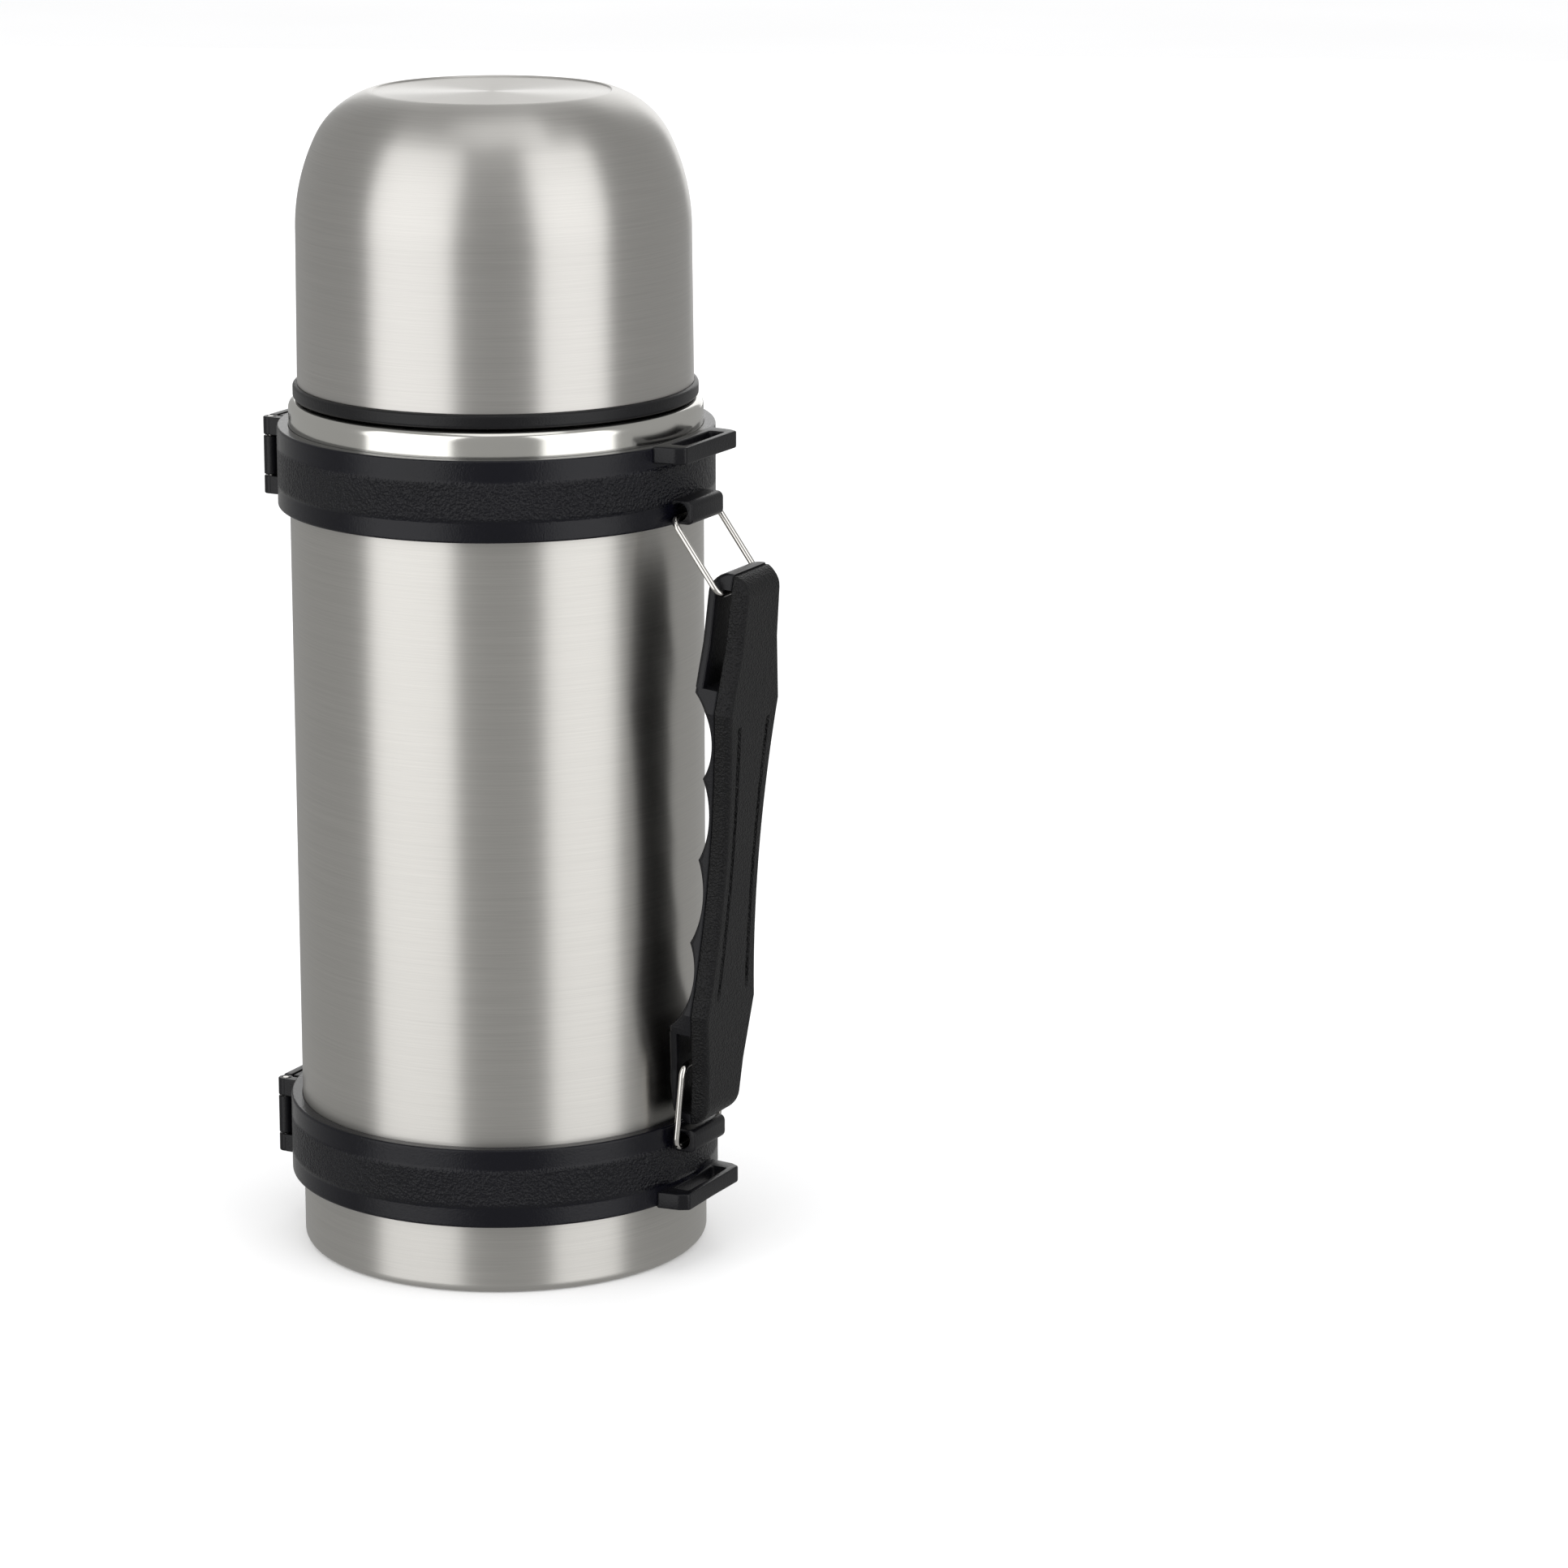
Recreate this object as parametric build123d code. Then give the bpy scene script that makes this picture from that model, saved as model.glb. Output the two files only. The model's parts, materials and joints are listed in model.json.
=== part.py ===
from build123d import *
import os
from math import cos, radians, sin

# A steel vacuum flask with its cup screwed on and a folding handle between two moulded bands.
# Millimetres, +Z up, origin at the centre of the foot. The handle is towards +X, the clasps towards -X.

flask_height = 296.0
body_radius = 52.0
outer_wall = 0.6
inner_wall = 0.5
inner_radius = 46.4
neck_radius = 31.2
neck_bore = 27.1
neck_top = 269.0
shell_top = 212.0
groove_radius = 46.6

band_radius = 55.0
band_height = 20.3
upper_band_z = 192.6
lower_band_z = 18.3

cup_radius = 49.65
cup_bottom = 219.8
cup_wall = 0.4
rim_radius = 50.8

wire_radius = 0.8
link_length = 22.0
link_half_width = 11.4
pivot_x = 56.0
upper_pivot_z = 194.7
lower_pivot_z = 33.0
upper_link_angle = 36.0    # degrees out from hanging straight down
lower_link_angle = 5.74    # degrees out from standing straight up

handle_length = 143.5
wire_from_end = 5.2        # from the handle's top end to the wire in its top slot
handle_tilt = 5.026        # the line through both wires leans out at the top
back_face = 6.6            # outer face of the handle, from that line
grip_face = -4.4           # inner face of the handle's end blocks, from that line
parting = 2.2              # where the handle's two halves meet

button_travel = 4.0


def spun(points):
    """A full turn about Z of a closed outline of (radius, height) points."""
    outline = Plane.XZ * Polyline(*points, close=True)
    return revolve(make_face(outline), Axis.Z, 360)


def spun_wall(bits, wall):
    """A full turn about Z of a wall that lies on the inner side of an upward outline."""
    outline = Wire([edge for bit in bits for edge in bit.edges()])
    closed = offset(outline, amount=wall, side=Side.LEFT, closed=True)
    return revolve(make_face(Plane.XZ * closed), Axis.Z, 360)


def block(x0, x1, half_y, z0, z1):
    """A box between two X planes and two Z planes, centred on Y = 0."""
    size = Box(x1 - x0, 2 * half_y, z1 - z0)
    return Pos((x0 + x1) / 2, 0, (z0 + z1) / 2) * size


def plate(x0, x1, y0, y1, z0, z1):
    """A box between three pairs of planes."""
    size = Box(x1 - x0, y1 - y0, z1 - z0)
    return Pos((x0 + x1) / 2, (y0 + y1) / 2, (z0 + z1) / 2) * size


def ring(r_in, r_out, z0, z1):
    return spun([(r_in, z0), (r_out, z0), (r_out, z1), (r_in, z1)])


def disc(radius, z0, z1):
    return Pos(0, 0, (z0 + z1) / 2) * Cylinder(radius, z1 - z0)


def write(shape, node):
    export_step(shape, f"parts/{node}.step")


# ---- Outer wall, base and the vacuum space ----

foot_radius = 48.5
foot_inner = 46.5
foot_round = body_radius - foot_radius


def outer_shell():
    mid = foot_round * sin(radians(45))
    bits = [
        Line((foot_inner, 0), (foot_radius, 0)),
        ThreePointArc((foot_radius, 0), (foot_radius + mid, foot_round - mid), (body_radius, foot_round)),
        Line((body_radius, foot_round), (body_radius, shell_top)),
    ]
    return spun_wall(bits, outer_wall)


plug_hole = 3.0


def base_plate():
    """The dished bottom: a sloping skirt on the foot and a flat floor with the evacuation hole."""
    return spun([
        (plug_hole, 4.2), (44.7, 4.2), (45.7, 0), (foot_inner, 0),
        (foot_inner, 0.6), (45.5, 5.0), (plug_hole, 5.0),
    ])


def vacuum_plug():
    return disc(5.0, 3.4, 4.2) + disc(plug_hole, 4.2, 5.6)


def neck_shoulder():
    """Polished shoulder: a rounded step, a groove, one rolled bead, a cone and the threaded neck."""
    step_top = 219.4
    bits = [
        Line((body_radius, shell_top), (body_radius, 214)),
        ThreePointArc((body_radius, 214), (50.2, 217.8), (groove_radius, step_top)),
        Line((groove_radius, step_top), (groove_radius, 229.6)),
        ThreePointArc((groove_radius, 229.6), (47.8, 233.0), (groove_radius, 236.4)),
        Line((groove_radius, 236.4), (groove_radius, 238.6)),
        ThreePointArc((groove_radius, 238.6), (46.2, 239.8), (45.2, 240.6)),
        Line((45.2, 240.6), (34.4, 247.2)),
        Line((34.4, 247.2), (neck_radius, 248.2)),
        Line((neck_radius, 248.2), (neck_radius, neck_top)),
    ]
    neck = spun_wall(bits, outer_wall)
    for z in (254.0, 260.0):
        inside = neck_radius - outer_wall / 2
        neck += spun([
            (inside, z - 1.2), (neck_radius, z - 1.2), (neck_radius + 0.6, z - 0.4),
            (neck_radius + 0.6, z + 0.4), (neck_radius, z + 1.2), (inside, z + 1.2),
        ])
    return neck


vessel_floor = 9.4
vessel_seam = 17.0


def inner_vessel():
    """Inner wall from the bottom seam up to the rolled lip of the neck."""
    neck = neck_bore + inner_wall
    bits = [
        Line((inner_radius, vessel_seam), (inner_radius, 200)),
        ThreePointArc((inner_radius, 200), (45.4, 206.5), (43.0, 212)),
        Line((43.0, 212), (43.0, 230)),
        ThreePointArc((43.0, 230), (41.2, 234.6), (37.0, 237)),
        Line((37.0, 237), (29.0, 241)),
        Line((29.0, 241), (neck, 243.5)),
        Line((neck, 243.5), (neck, neck_top - 0.4)),
    ]
    lip = ring(neck_bore, neck_radius - outer_wall, neck_top - 0.8, neck_top)
    return spun_wall(bits, inner_wall) + lip


def inner_bottom():
    corner = 6.0
    start = inner_radius - corner
    mid = corner * sin(radians(45))
    bits = [
        Line((0, vessel_floor), (start, vessel_floor)),
        ThreePointArc(
            (start, vessel_floor),
            (start + mid, vessel_floor + corner - mid),
            (inner_radius, vessel_floor + corner),
        ),
        Line((inner_radius, vessel_floor + corner), (inner_radius, vessel_seam)),
    ]
    return spun_wall(bits, inner_wall)


def getter():
    return disc(8.0, 7.6, vessel_floor)


# ---- Moulded bands with their clasps ----

band_bore = body_radius + 0.05
boss_hole = 2.2
boss_half = 8.2
clasp_pin_radius = 0.9
clasp_pin_x = -55.3
clasp_pin_y = -18.0
knuckle_radius = 1.9
clasp_plane = -55.0        # flat seat under the clasp lever
lever_x0 = -57.6
lever_end_y = 20.6
knuckle_height = 4.6


slot_x0 = 55.05
slot_x1 = 59.25
slot_half = 10.2
loop_front = 61.0


def loop_plate(z0, z1):
    """Strap loop: a tapered plate that stands out of the band, with a slot for webbing."""
    front = loop_front - 2.4
    corners = [
        (50, -15.5), (front, -14.75), (loop_front, -13.4),
        (loop_front, 13.4), (front, 14.75), (50, 15.5),
    ]
    loop = Pos(0, 0, z0) * extrude(make_face(Polyline(*corners, close=True)), z1 - z0)
    return loop - block(slot_x0, slot_x1, slot_half, z0 - 1, z1 + 1)


def wire_boss(hole_z, z0, z1):
    """Rounded lug across the band, with the loose hole that the wire link turns in."""
    body = block(50, 60, boss_half, z0, z1)
    front = body.edges().filter_by(Axis.Y).sort_by(Axis.X)[-2:]
    body = fillet(front, 1.6)
    hole = Pos(pivot_x, 0, hole_z) * Rot(90, 0, 0) * Cylinder(boss_hole, 4 * boss_half)
    return body, hole


def clasp_seat(z0, z1):
    """Flat under the lever, and the two knuckles that hold the hinge pin."""
    seat = plate(clasp_plane, -48, -15, 19, z0 + 0.6, z1 - 0.6)
    pin_axis = Pos(clasp_pin_x, clasp_pin_y, 0)
    for low in (z0 + 0.3, z1 - 0.3 - knuckle_height):
        barrel = pin_axis * disc(knuckle_radius, low, low + knuckle_height)
        arm = plate(clasp_pin_x, -49, clasp_pin_y - knuckle_radius, clasp_pin_y + 0.9, low, low + knuckle_height)
        seat += barrel + arm
    return seat - pin_axis * disc(clasp_pin_radius, z0 - 1, z1 + 1)


def band(z0, loop_z, boss_z, hole_z):
    """One band: ring, strap loop, wire boss and clasp seat in one moulding."""
    z1 = z0 + band_height
    edge = 0.5
    body = spun([
        (band_bore, z0), (band_radius - edge, z0), (band_radius, z0 + edge),
        (band_radius, z1 - edge), (band_radius - edge, z1), (band_bore, z1),
    ])
    boss, hole = wire_boss(hole_z, *boss_z)
    body += loop_plate(*loop_z)
    body += boss
    body += clasp_seat(z0, z1)
    body -= hole
    return body - disc(band_bore, z0 - 5, z1 + 5)


def clasp_lever(z0):
    """Flat cover with four oval outlines, a middle knuckle on the pin and a catch at the far end."""
    z1 = z0 + band_height
    cover = plate(lever_x0, -55.3, clasp_pin_y + 2.4, lever_end_y, z0 + 0.4, z1 - 0.4)
    cover = fillet(cover.edges().filter_by(Axis.Z).sort_by(Axis.X)[:2], 0.7)
    oval_z = z0 + band_height / 2
    for i in range(4):
        y = -10.2 + i * 7.8
        outline = SlotOverall(13.0, 4.6, rotation=90) - SlotOverall(11.8, 3.4, rotation=90)
        on_face = Plane(origin=(lever_x0, y, oval_z), x_dir=(0, 1, 0), z_dir=(-1, 0, 0))
        cover -= extrude(on_face * outline, -0.4)
    mid0 = z0 + 0.3 + knuckle_height + 0.3
    mid1 = z1 - 0.3 - knuckle_height - 0.3
    barrel = Pos(clasp_pin_x, clasp_pin_y, 0) * disc(knuckle_radius, mid0, mid1)
    arm = plate(-57.2, -55.3, clasp_pin_y, clasp_pin_y + 3.0, mid0, mid1)
    catch = plate(-55.4, -53.9, 19.3, lever_end_y, z0 + 1.2, z1 - 1.2)
    lever = cover + barrel + arm + catch
    return lever - Pos(clasp_pin_x, clasp_pin_y, 0) * disc(clasp_pin_radius + 0.05, z0 - 1, z1 + 1)


def clasp_pin(z0):
    return Pos(clasp_pin_x, clasp_pin_y, 0) * disc(clasp_pin_radius, z0 + 0.3, z0 + band_height - 0.3)


# ---- Wire links and the handle ----


def wire_link(pivot_z, direction):
    """A closed rounded rectangle of wire. Its near run turns in the boss, its far run in the handle."""
    dx, dz = direction
    half = link_length / 2
    middle = (pivot_x + dx * half, 0, pivot_z + dz * half)
    plane = Plane(origin=middle, x_dir=(0, 1, 0), z_dir=(dz, 0, -dx))
    path = (plane * RectangleRounded(2 * link_half_width, link_length, 2.6)).wire()
    section = Plane(origin=path @ 0, z_dir=path % 0) * Circle(wire_radius)
    return sweep(section, path)


upper_way = (sin(radians(upper_link_angle)), -cos(radians(upper_link_angle)))
lower_way = (sin(radians(lower_link_angle)), cos(radians(lower_link_angle)))


def at(distance):
    """Height, in the handle's own frame, of a point this far below its top end."""
    return wire_from_end - distance


kink = 34.7
kink_half = 13.7
end_half = 9.2
slot_length = 25.0
slot_start = 4.0


def handle_plan():
    """The handle seen from outside: narrow ends, a kink past each slot and a waist between them."""
    middle = 74.0
    far_kink = 2 * middle - kink
    right = [
        Line((end_half, at(0)), (10.3, at(18))),
        Line((10.3, at(18)), (kink_half, at(kink))),
        ThreePointArc((kink_half, at(kink)), (10.0, at(middle)), (kink_half, at(far_kink))),
        Line((kink_half, at(far_kink)), (10.4, at(129.5))),
        Line((10.4, at(129.5)), (end_half, at(handle_length))),
    ]
    left = [mirror(bit, Plane.YZ) for bit in right]
    ends = [
        Line((-end_half, at(0)), (end_half, at(0))),
        Line((-end_half, at(handle_length)), (end_half, at(handle_length))),
    ]
    outline = Wire([edge for bit in right + left + ends for edge in bit.edges()])
    return Pos(-20, 0, 0) * extrude(Plane.YZ * make_face(outline), 40)


def handle_side():
    """The handle seen from the side: round ends, thick end blocks and four finger hollows."""
    mid_x = (back_face + grip_face) / 2
    end = (back_face - grip_face) / 2
    tip = -1.4
    deep = 1.2
    outline = Wire([
        Line((back_face, at(end)), (back_face, at(handle_length - end))).edge(),
        ThreePointArc((back_face, at(end)), (mid_x, at(0)), (grip_face, at(end))).edge(),
        Line((grip_face, at(end)), (grip_face, at(30.5))).edge(),
        ThreePointArc((grip_face, at(30.5)), (deep, at(41)), (tip, at(52.6))).edge(),
        ThreePointArc((tip, at(52.6)), (deep, at(63.3)), (tip, at(74))).edge(),
        ThreePointArc((tip, at(74)), (deep, at(84.7)), (tip, at(95.4))).edge(),
        ThreePointArc((tip, at(95.4)), (deep, at(107)), (grip_face, at(117.5))).edge(),
        Line((grip_face, at(117.5)), (grip_face, at(132))).edge(),
        Line((grip_face, at(132)), (grip_face + 1.2, at(handle_length - end))).edge(),
        ThreePointArc(
            (grip_face + 1.2, at(handle_length - end)),
            (mid_x + 0.6, at(handle_length)),
            (back_face, at(handle_length - end)),
        ).edge(),
    ])
    return Pos(0, 20, 0) * extrude(Plane.XZ * make_face(outline), 40)


def decor_groove(side):
    """A long shallow groove in the back that follows the waist."""
    half = 0.65
    start, stop, middle = at(38.5), at(109.5), at(74)
    outline = Wire([
        ThreePointArc((7.7 - half, start), (5.8 - half, middle), (7.7 - half, stop)).edge(),
        ThreePointArc((7.7 + half, start), (5.8 + half, middle), (7.7 + half, stop)).edge(),
        Line((7.7 - half, start), (7.7 + half, start)).edge(),
        Line((7.7 - half, stop), (7.7 + half, stop)).edge(),
    ])
    cut = Pos(back_face - 1.0, 0, 0) * extrude(Plane.YZ * make_face(outline), 3)
    return cut if side > 0 else mirror(cut, Plane.XZ)


def on_wires(shape):
    """Moves the handle from its own frame, where the top wire is the origin, to its place at rest."""
    x = pivot_x + link_length * upper_way[0]
    z = upper_pivot_z + link_length * upper_way[1]
    return Pos(x, 0, z) * Rot(0, handle_tilt, 0) * shape


def handle_halves():
    whole = handle_plan() & handle_side()
    back = whole & plate(parting, 20, -20, 20, -160, 20)
    grip = whole & plate(-20, parting, -20, 20, -160, 20)
    for side in (-1, 1):
        back -= decor_groove(side)
    slots = (
        (slot_start, slot_start + slot_length),
        (119.0, handle_length - 2.9),
    )
    for start, stop in slots:
        grip -= plate(-2.0, parting + 1, -20, 20, at(stop), at(start))
    return on_wires(back), on_wires(grip)


# ---- Cup ----


cup_side_top = 262.0
crown_radius = 30.5
crown_step = 0.4


def cup_outline(side_inset, top_inset, bottom):
    """Cup wall from its lower edge up the side and over two tangent arcs to the crown's edge."""
    side = Line((cup_radius - side_inset, bottom), (49.3 - side_inset, cup_side_top))
    shoulder = (44.0 - 0.9 * side_inset, 284.8 - 0.44 * top_inset)
    haunch = TangentArc(side @ 1, shoulder, tangent=(0, 1))
    crown = TangentArc(shoulder, (crown_radius - 0.2 * side_inset, flask_height - top_inset), tangent=haunch % 1)
    return [side, haunch, crown]


def cup_shell():
    """Steel cup wall, with a slightly sunk flat on top."""
    low = flask_height - crown_step
    step = [
        Line((crown_radius, flask_height), (crown_radius - 0.8, flask_height)),
        Line((crown_radius - 0.8, flask_height), (crown_radius - 1.2, low)),
        Line((crown_radius - 1.2, low), (0, low)),
    ]
    return spun_wall(cup_outline(0, 0, cup_edge) + step, cup_wall)


cup_edge = 223.4
rim_height = 4.0
rim_edge = 0.6
liner_radius = 48.4
liner_wall = 0.8


def cup_liner():
    """Black inner cup: a rim that wraps the steel edge, a thin wall with three ridges and a domed top."""
    gap = cup_wall + 0.1
    rim_top = cup_bottom + rim_height
    side, haunch, crown = cup_outline(gap, gap + crown_step, rim_top)
    flat = Line(crown @ 1, (0, flask_height - gap - crown_step))
    body = spun_wall([side, haunch, crown, flat], liner_wall)
    inner_face = cup_radius - gap
    body += spun([
        (liner_radius, cup_bottom), (rim_radius - rim_edge, cup_bottom), (rim_radius, cup_bottom + rim_edge),
        (rim_radius, rim_top - 1.0), (cup_radius + 0.2, rim_top - 0.4), (cup_radius + 0.2, cup_edge - 0.1),
        (inner_face, cup_edge - 0.1), (inner_face, rim_top + 1), (liner_radius, rim_top + 1),
    ])
    for z in (239.2, 243.6, 248.0):
        body += spun([(48.7, z - 1), (47.2, z - 0.4), (47.2, z + 0.4), (48.7, z + 1)])
    return body


# ---- Screw collar and centre stopper ----

collar_bottom = 248.9
collar_top = 275.9
collar_bore = 32.2
sleeve_in = 25.0
sleeve_out = 26.6
notches = 16


def stopper_collar():
    """Screw collar: skirt with a notched lower edge, top, and a sleeve that reaches into the neck."""
    body = spun([
        (collar_bore, collar_bottom), (34.2, collar_bottom), (35.2, 249.9), (35.6, 252.2), (35.3, 261.4),
        (35.0, 261.6), (34.0, 272.6), (33.2, 274.8), (31.8, collar_top), (30.1, collar_top),
        (30.1, 275.0), (27.5, 275.0), (27.5, collar_top), (sleeve_in, collar_top), (sleeve_in, 244.0),
        (sleeve_out, 244.0), (sleeve_out, 272.4), (collar_bore, 272.4),
    ])
    for i in range(notches):
        notch = Pos(35.2, 0, 251.6) * Box(1.4, 2.2, 3.6)
        body -= Rot(0, 0, (i + 0.5) * 360 / notches) * notch
    return body


def collar_seal():
    return ring(sleeve_out + 0.2, 30.9, 269.3, 272.4)


plug_radius = 24.7
well_radius = 24.4
floor_low = 271.0
floor_high = 273.0


def pour_stopper_body():
    """Centre stopper: top ring, two finger flanges, seat on the collar and a drilled floor."""
    body = spun([
        (well_radius, 287.5), (25.9, 287.5), (26.4, 287.0), (26.4, 284.5), (28.7, 284.1), (28.9, 283.6),
        (28.6, 283.1), (26.6, 282.4), (26.6, 280.5), (31.8, 279.9), (32.0, 279.4), (31.7, 278.9),
        (30.6, 278.2), (30.6, 276.2), (plug_radius, 276.2), (plug_radius, floor_low), (3.4, floor_low),
        (3.4, floor_high), (23.0, floor_high), (23.0, 280.0), (well_radius, 280.0),
    ])
    for i in range(4):
        port = Pos(6.0, 0, (floor_low + floor_high) / 2) * Cylinder(1.6, 6)
        body -= Rot(0, 0, 45 + 90 * i) * port
    return body


casing_low = 245.0
channel = 8.3


def plug_casing():
    """Hollow plug under the stopper, with the pour channel up its middle."""
    wall = 1.4
    return spun([
        (channel, floor_low), (channel, casing_low), (plug_radius - 0.8, casing_low),
        (plug_radius, casing_low + 0.8), (plug_radius, floor_low), (plug_radius - wall, floor_low),
        (plug_radius - wall, casing_low + wall), (channel + 1, casing_low + wall), (channel + 1, floor_low),
    ])


def plug_foam():
    return ring(channel + 1, plug_radius - 1.4, casing_low + 1.4, floor_low)


def plug_seal():
    return ring(27.8, 29.7, 275.3, 276.2)


button_low = 284.6
button_top = 287.2
disc_radius = 18.3
stem_radius = 2.9
valve_top = 244.0


def push_button():
    """Round button with a recess for its disc and a hub that holds the valve stem."""
    recess = disc_radius + 0.1
    return spun([
        (0, 286.0), (recess, 286.0), (recess, button_top), (23.8, button_top), (24.1, 286.9),
        (24.1, button_low), (6.0, button_low), (6.0, 279.0), (stem_radius, 279.0), (stem_radius, 283.0), (0, 283.0),
    ])


def button_disc():
    """Pale disc with a shallow turned ring."""
    return spun([
        (0, 286.0), (disc_radius, 286.0), (disc_radius, 286.8), (17.9, 287.0), (11.2, 287.0),
        (10.9, 286.8), (10.5, 286.8), (10.2, 287.0), (0, 287.0),
    ])


def valve_stem():
    return disc(stem_radius, valve_top, 283.0)


def valve_head():
    return spun([(0, 241.5), (8.6, 241.5), (9.6, 242.4), (9.6, valve_top), (0, valve_top)])


def valve_seal():
    return ring(stem_radius + 0.1, 8.9, valve_top, valve_top + 0.7)


def valve_spring():
    """Coil between the stopper's floor and the button."""
    low, high, radius, wire = floor_high + 0.6, button_low - 0.6, 9.0, 0.5
    path = Helix(pitch=(high - low) / 4, height=high - low, radius=radius)
    section = Plane(origin=path @ 0, z_dir=path % 0) * Circle(wire)
    return Pos(0, 0, low) * sweep(section, path)


def build():
    os.makedirs("parts", exist_ok=True)
    write(outer_shell(), "outer_shell")
    write(base_plate(), "base_plate")
    write(vacuum_plug(), "vacuum_plug")
    write(neck_shoulder(), "neck_shoulder")
    write(inner_vessel(), "inner_vessel")
    write(inner_bottom(), "inner_bottom")
    write(getter(), "getter")

    upper_top = upper_band_z + band_height
    write(band(upper_band_z, (209.1, upper_top + 0.4), (193.0, 199.0), 196.0), "upper_band")
    write(band(lower_band_z, (lower_band_z - 0.4, 22.1), (31.3, 37.3), 34.3), "lower_band")
    write(clasp_lever(upper_band_z), "upper_clasp_lever")
    write(clasp_lever(lower_band_z), "lower_clasp_lever")
    write(clasp_pin(upper_band_z), "upper_clasp_pin")
    write(clasp_pin(lower_band_z), "lower_clasp_pin")

    write(wire_link(upper_pivot_z, upper_way), "upper_bail")
    write(wire_link(lower_pivot_z, lower_way), "lower_bail")
    back, grip = handle_halves()
    write(back, "handle_outer")
    write(grip, "handle_grip")

    write(cup_shell(), "cup_shell")
    write(cup_liner(), "cup_liner")

    write(stopper_collar(), "stopper_collar")
    write(collar_seal(), "collar_seal")
    write(pour_stopper_body(), "pour_stopper_body")
    write(plug_casing(), "plug_casing")
    write(plug_foam(), "plug_foam")
    write(plug_seal(), "plug_seal")
    write(push_button(), "push_button")
    write(button_disc(), "button_disc")
    write(valve_stem(), "valve_stem")
    write(valve_head(), "valve_head")
    write(valve_seal(), "valve_seal")
    write(valve_spring(), "valve_spring")


build()
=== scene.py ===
import json
import math

import bpy
import numpy as np
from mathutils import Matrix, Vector


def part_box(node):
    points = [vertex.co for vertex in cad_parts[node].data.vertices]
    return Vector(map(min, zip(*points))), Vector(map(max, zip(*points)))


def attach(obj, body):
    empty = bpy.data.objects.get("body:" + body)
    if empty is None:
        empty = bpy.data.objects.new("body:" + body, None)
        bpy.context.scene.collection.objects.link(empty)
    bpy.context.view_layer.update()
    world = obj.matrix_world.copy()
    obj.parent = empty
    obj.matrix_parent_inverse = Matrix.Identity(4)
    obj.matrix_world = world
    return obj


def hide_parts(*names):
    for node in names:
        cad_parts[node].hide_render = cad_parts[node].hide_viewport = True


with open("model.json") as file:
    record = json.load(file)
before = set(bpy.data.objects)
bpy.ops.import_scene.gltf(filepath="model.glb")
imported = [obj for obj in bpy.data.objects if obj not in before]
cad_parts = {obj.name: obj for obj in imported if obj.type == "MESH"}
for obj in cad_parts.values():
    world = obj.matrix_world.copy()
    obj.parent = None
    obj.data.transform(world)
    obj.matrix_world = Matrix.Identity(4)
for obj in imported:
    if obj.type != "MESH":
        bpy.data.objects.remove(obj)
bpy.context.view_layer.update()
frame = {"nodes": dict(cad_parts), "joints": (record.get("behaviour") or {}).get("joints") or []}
print("frame loaded:", len(frame["nodes"]), "nodes")

mm = 0.001
tau = 2 * math.pi


def span(node):
    # lowest and highest corner of a node at rest, in millimetres
    low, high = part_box(node)
    return np.array(low) / mm, np.array(high) / mm


def jointPlace(name):
    for joint in frame["joints"]:
        if joint["name"] == name:
            return np.array(joint["pos_m"]) / mm


# ---- outlines in the plane: lists of (a, b, corner radius) become smooth lines ----

def smoothOutline(corners, closed=True, steps=6):
    # each corner is an arc tangent to both of its sides, with one more point just past
    # each end of the arc, so that the flats between corners shade flat
    count = len(corners)
    pieces = []
    for i, (a, b, radius) in enumerate(corners):
        here = np.array((a, b), float)
        if radius == 0 or (not closed and i in (0, count - 1)):
            pieces.append(here[None])
            continue
        before = np.array(corners[i - 1][:2], float) - here
        after = np.array(corners[(i + 1) % count][:2], float) - here
        lengths = np.hypot(*before), np.hypot(*after)
        before, after = before / lengths[0], after / lengths[1]
        half = math.acos(float(np.clip(before @ after, -1, 1))) / 2
        reach = min(radius / math.tan(half), 0.42 * lengths[0], 0.42 * lengths[1])
        middle = (before + after) / np.hypot(*(before + after))
        centre = here + middle * reach / math.cos(half)
        start = here + before * reach - centre
        end = here + after * reach - centre
        turn = math.atan2(start[0] * end[1] - start[1] * end[0], start @ end)
        t = np.linspace(0, turn, steps + 1)
        arc = centre + np.stack([
            start[0] * np.cos(t) - start[1] * np.sin(t),
            start[0] * np.sin(t) + start[1] * np.cos(t)], 1)
        guard = [min(0.3, 0.07 * length) for length in lengths]
        pieces += [(here + before * (reach + guard[0]))[None], arc, (here + after * (reach + guard[1]))[None]]
    return np.concatenate(pieces)


def arcOnto(start, direction, end, steps=14):
    # the arc that leaves start along a direction and ends at end, as plain corners
    start, end = np.array(start, float), np.array(end, float)
    direction = np.array(direction, float) / np.hypot(*direction)
    normal = np.array((-direction[1], direction[0]))
    chord = end - start
    radius = chord @ chord / (2 * (chord @ normal))
    centre = start + normal * radius
    turn = 2 * math.atan2(chord @ normal, chord @ direction)
    t = np.linspace(0, turn, steps + 1)
    arm = start - centre
    points = centre + np.stack([
        arm[0] * np.cos(t) - arm[1] * np.sin(t),
        arm[0] * np.sin(t) + arm[1] * np.cos(t)], 1)
    leave = np.array((
        direction[0] * math.cos(turn) - direction[1] * math.sin(turn),
        direction[0] * math.sin(turn) + direction[1] * math.cos(turn)))
    return [(a, b, 0) for a, b in points], leave


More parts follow.
